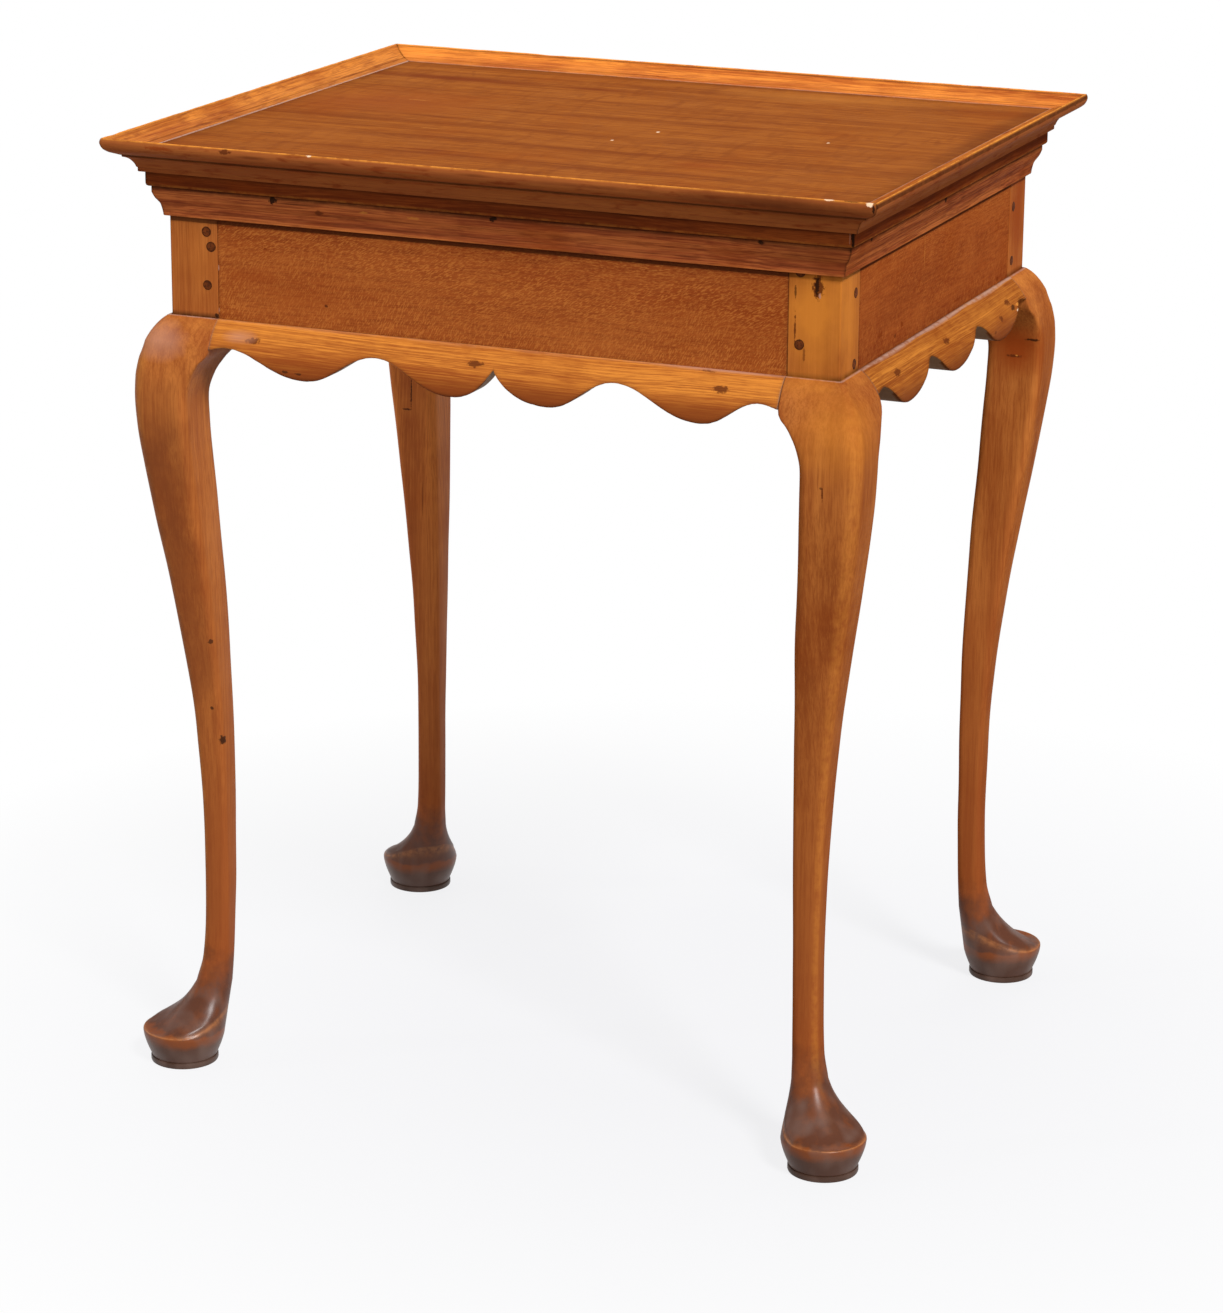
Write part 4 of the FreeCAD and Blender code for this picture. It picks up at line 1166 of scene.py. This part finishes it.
def makeLeg(corner):
    angle, wayX, wayY = corners[corner]
    rings, lipIndex, heel = legRings()
    z = rings[..., 2]
    outward = rings - rings.mean(axis=1, keepdims=True)
    outward[..., 2] = 0
    outward /= np.maximum(np.linalg.norm(outward, axis=2, keepdims=True), 1e-6)
    carved = np.clip((z - 0.03) / 0.05, 0, 1) * np.clip((seam - 0.002 - z) / 0.02, 0, 1)
    wander = unevenness(rings * (1, 1, 0.5), 0.03, leg["rough"], angle + 41)
    rings += outward * (wander * carved)[..., None]
    diagonal = (outward[..., 0] + outward[..., 1]) / math.sqrt(2)
    order = np.arange(len(rings))[:, None]
    lipLine = shade(order, lipIndex - 1, 1.5) * (1 - 0.45 * heel)
    # painted shade: the inward faces of the upper legs, under the skirts and rails, are darkened
    innerShade = np.clip(-diagonal, 0, 1) * np.clip((z - 0.50) / 0.05, 0, 1) * (z < seam - 0.001)
    ledge = np.abs(z - seam) < 0.0003
    nearPost = (rings[..., 0] < 0.0009) & (rings[..., 1] < 0.0009)
    ages = {"rub": 0.25 * shade(diagonal, 1.0, 0.03) * carved + 0.8 * lipLine
            + 0.2 * shade(z, seam - 0.004, 0.004) * (z < seam),
            "grimeAndShade": 0.45 * innerShade + 0.85 * (ledge & nearPost) + 0.35 * shade(z, leg["disc"], 0.0006),
            "wax": 0.6 * (ledge & ~nearPost)}
    spin(rings, angle)
    rings[..., 0] += wayX * faceX
    rings[..., 1] += wayY * faceY
    name = "leg_" + corner + "_carved"
    material = makeWood("legWood_" + corner, "leg", upright=True, tone=leg["tone"][corner],
                        shift=(0.013 * angle, 0.9 * angle, 0.4), marks=leg["marks"][corner],
                        shine=leg["shine"][corner])
    finishPiece(name, ringMesh(name, [rings], ages), material, "leg_" + corner, 38.0)


for corner in corners:
    makeLeg(corner)
print("legs are made")


def makePegTree():
    # stands a slightly crowned, uneven rod in the surface at every point
    group = bpy.data.node_groups.new("pegs", "GeometryNodeTree")
    sockets = {"Geometry": "Geometry", "Radius": "Float", "Length": "Float", "Crown": "Float",
               "Uneven": "Float", "Seed": "Int", "Material": "Material"}
    for name, kind in sockets.items():
        group.interface.new_socket(name, in_out="INPUT", socket_type="NodeSocket" + kind)
    group.interface.new_socket("Geometry", in_out="OUTPUT", socket_type="NodeSocketGeometry")
    tree = Tree(group)
    given = tree.add("NodeGroupInput").outputs
    rod = tree.add("GeometryNodeMeshCylinder",
                   {"Vertices": 20, "Side Segments": 3, "Fill Segments": 4,
                    "Radius": given["Radius"], "Depth": given["Length"]})
    place = tree.add("GeometryNodeInputPosition").outputs[0]
    axes = tree.add("ShaderNodeSeparateXYZ", {0: place}).outputs
    flat = tree.add("ShaderNodeCombineXYZ", {0: axes[0], 1: axes[1]}).outputs[0]
    share = tree.math("DIVIDE", tree.vector("LENGTH", flat), given["Radius"])
    fall = tree.times(tree.math("POWER", share, 2.5), given["Crown"])
    isTop = tree.math("GREATER_THAN", axes[2], tree.times(given["Length"], 0.49))
    drop = tree.times(tree.times(fall, isTop), -1.0)
    drop = tree.add("ShaderNodeCombineXYZ", {2: drop}).outputs[0]
    crowned = tree.add("GeometryNodeSetPosition", {"Geometry": rod.outputs[0], "Offset": drop})
    outlined = tree.add("GeometryNodeStoreNamedAttribute",
                        {"Geometry": crowned.outputs[0], "Name": "grimeAndShade",
                         "Value": tree.math("POWER", share, 5.0)}, data_type="FLOAT", domain="POINT")
    sunk = tree.add("ShaderNodeCombineXYZ", {2: tree.times(given["Length"], -0.5)}).outputs[0]
    lowered = tree.add("GeometryNodeTransform", {"Geometry": outlined.outputs[0],
                                                 "Translation": sunk})
    twist = tree.add("FunctionNodeRandomValue", {"Max": 6.28, "Seed": given["Seed"]}).outputs[1]
    twist = tree.add("ShaderNodeCombineXYZ", {2: twist}).outputs[0]
    size = tree.add("FunctionNodeRandomValue",
                    {0: (0.90, 0.90, 1.0), 1: (1.0, 1.0, 1.0), "Seed": given["Seed"]},
                    data_type="FLOAT_VECTOR")
    stand = tree.add("FunctionNodeEulerToRotation", {0: (math.pi / 2, 0.0, 0.0)})
    turned = tree.add("FunctionNodeEulerToRotation", {0: twist})
    both = tree.add("FunctionNodeRotateRotation", {0: stand.outputs[0], 1: turned.outputs[0]},
                    rotation_space="LOCAL")
    placed = tree.add("GeometryNodeInstanceOnPoints",
                      {"Points": given["Geometry"], "Instance": lowered.outputs[0],
                       "Rotation": both.outputs[0], "Scale": size.outputs[0]})
    real = tree.add("GeometryNodeRealizeInstances", {"Geometry": placed.outputs[0]})
    ripple = tree.add("ShaderNodeTexNoise", {"Scale": 320.0, "Detail": 1.0}).outputs["Color"]
    push = tree.add("ShaderNodeVectorMath", {0: tree.vector("SUBTRACT", ripple, (0.5, 0.5, 0.5)),
                                             "Scale": given["Uneven"]}, operation="SCALE")
    moved = tree.add("GeometryNodeSetPosition", {"Geometry": real.outputs[0],
                                                 "Offset": push.outputs[0]})
    dressed = tree.add("GeometryNodeSetMaterial",
                       {"Geometry": moved.outputs[0], "Material": given["Material"]})
    tree.add("NodeGroupOutput", {0: dressed.outputs[0]})
    return group


def standPegs(name, rods, angle, values, node):
    ends, radius, length = rods
    cloud = bpy.data.meshes.new(name)
    cloud.from_pydata(ends, [], [])
    holder = bpy.data.objects.new(name, cloud)
    bpy.context.collection.objects.link(holder)
    modifier = holder.modifiers.new("pegs", "NODES")
    modifier.node_group = pegTree
    values = {"Radius": radius, "Length": length, **values}
    for item in pegTree.interface.items_tree:
        if item.in_out == "INPUT" and item.name in values:
            modifier[item.identifier] = values[item.name]
    seen = holder.evaluated_get(bpy.context.evaluated_depsgraph_get())
    mesh = bpy.data.meshes.new_from_object(seen)
    bpy.data.objects.remove(holder)
    points = np.empty(len(mesh.vertices) * 3)
    mesh.vertices.foreach_get("co", points)
    points = spin(points.reshape(-1, 3), angle)
    mesh.vertices.foreach_set("co", points.ravel())
    mesh.update()
    finishPiece(name, mesh, values["Material"], node, 50.0)


pegTree = makePegTree()
pegs = {
    # node, piece, slot, how far it stands proud, inputs of the peg tree
    "rail_pins_": ("railPegs_", "pin_wood", 0.0003,
                   {"Crown": 0.00015, "Uneven": 0.0003, "Material": makePegWood()}),
    "skirt_nails_": ("skirtNails_", "nail_iron", 0.0,
                     {"Crown": 0.0003, "Uneven": 0.0006,
                      "Material": makeIron("agedIron", 1.8)}),
    "bed_moulding_brads_": ("mouldingBrads_", "nail_iron", 0.0,
                            {"Crown": 0.0002, "Uneven": 0.0003,
                             "Material": makeIron("dullIron", 0.5)}),
}
for turn, (side, angle) in enumerate(sides.items()):
    for batch, (node, (name, slot, proud, inputs)) in enumerate(pegs.items()):
        standPegs(name + side, rodsOf(node + side, angle, proud), angle,
                  {**inputs, "Seed": turn + 10 * batch}, node + side)
print("pegs and nails are made")

blocks = {"ease": 0.0008, "gap": 0.004, "wander": 0.0005}
blockWood = makeWood("blockWood", "block", shift=(2.0, 0.3, 0.1))


def makeGlueBlocks(side):
    angle = sides[side]
    parts = []
    for low, high in solidsOf("glue_blocks_" + side, angle):
        section = eased([(low[1], high[2], 0.0), (high[1], high[2], blocks["ease"]),
                         (low[1], low[2], blocks["ease"])], blocks["gap"])
        rings = extruded(section, np.linspace(low[0], high[0], 14))
        wander = np.abs(unevenness(rings, 0.012, blocks["wander"], angle + 61))
        rings[..., 2] += wander * (rings[..., 2] < high[2] - 0.0005)
        parts.append(rings)
    finishPiece("cornerBlocks_" + side, ringMesh("glueBlocks_" + side, parts, turn=angle), blockWood,
                "glue_blocks_" + side)


for side in sides:
    makeGlueBlocks(side)
print("glue blocks are made")
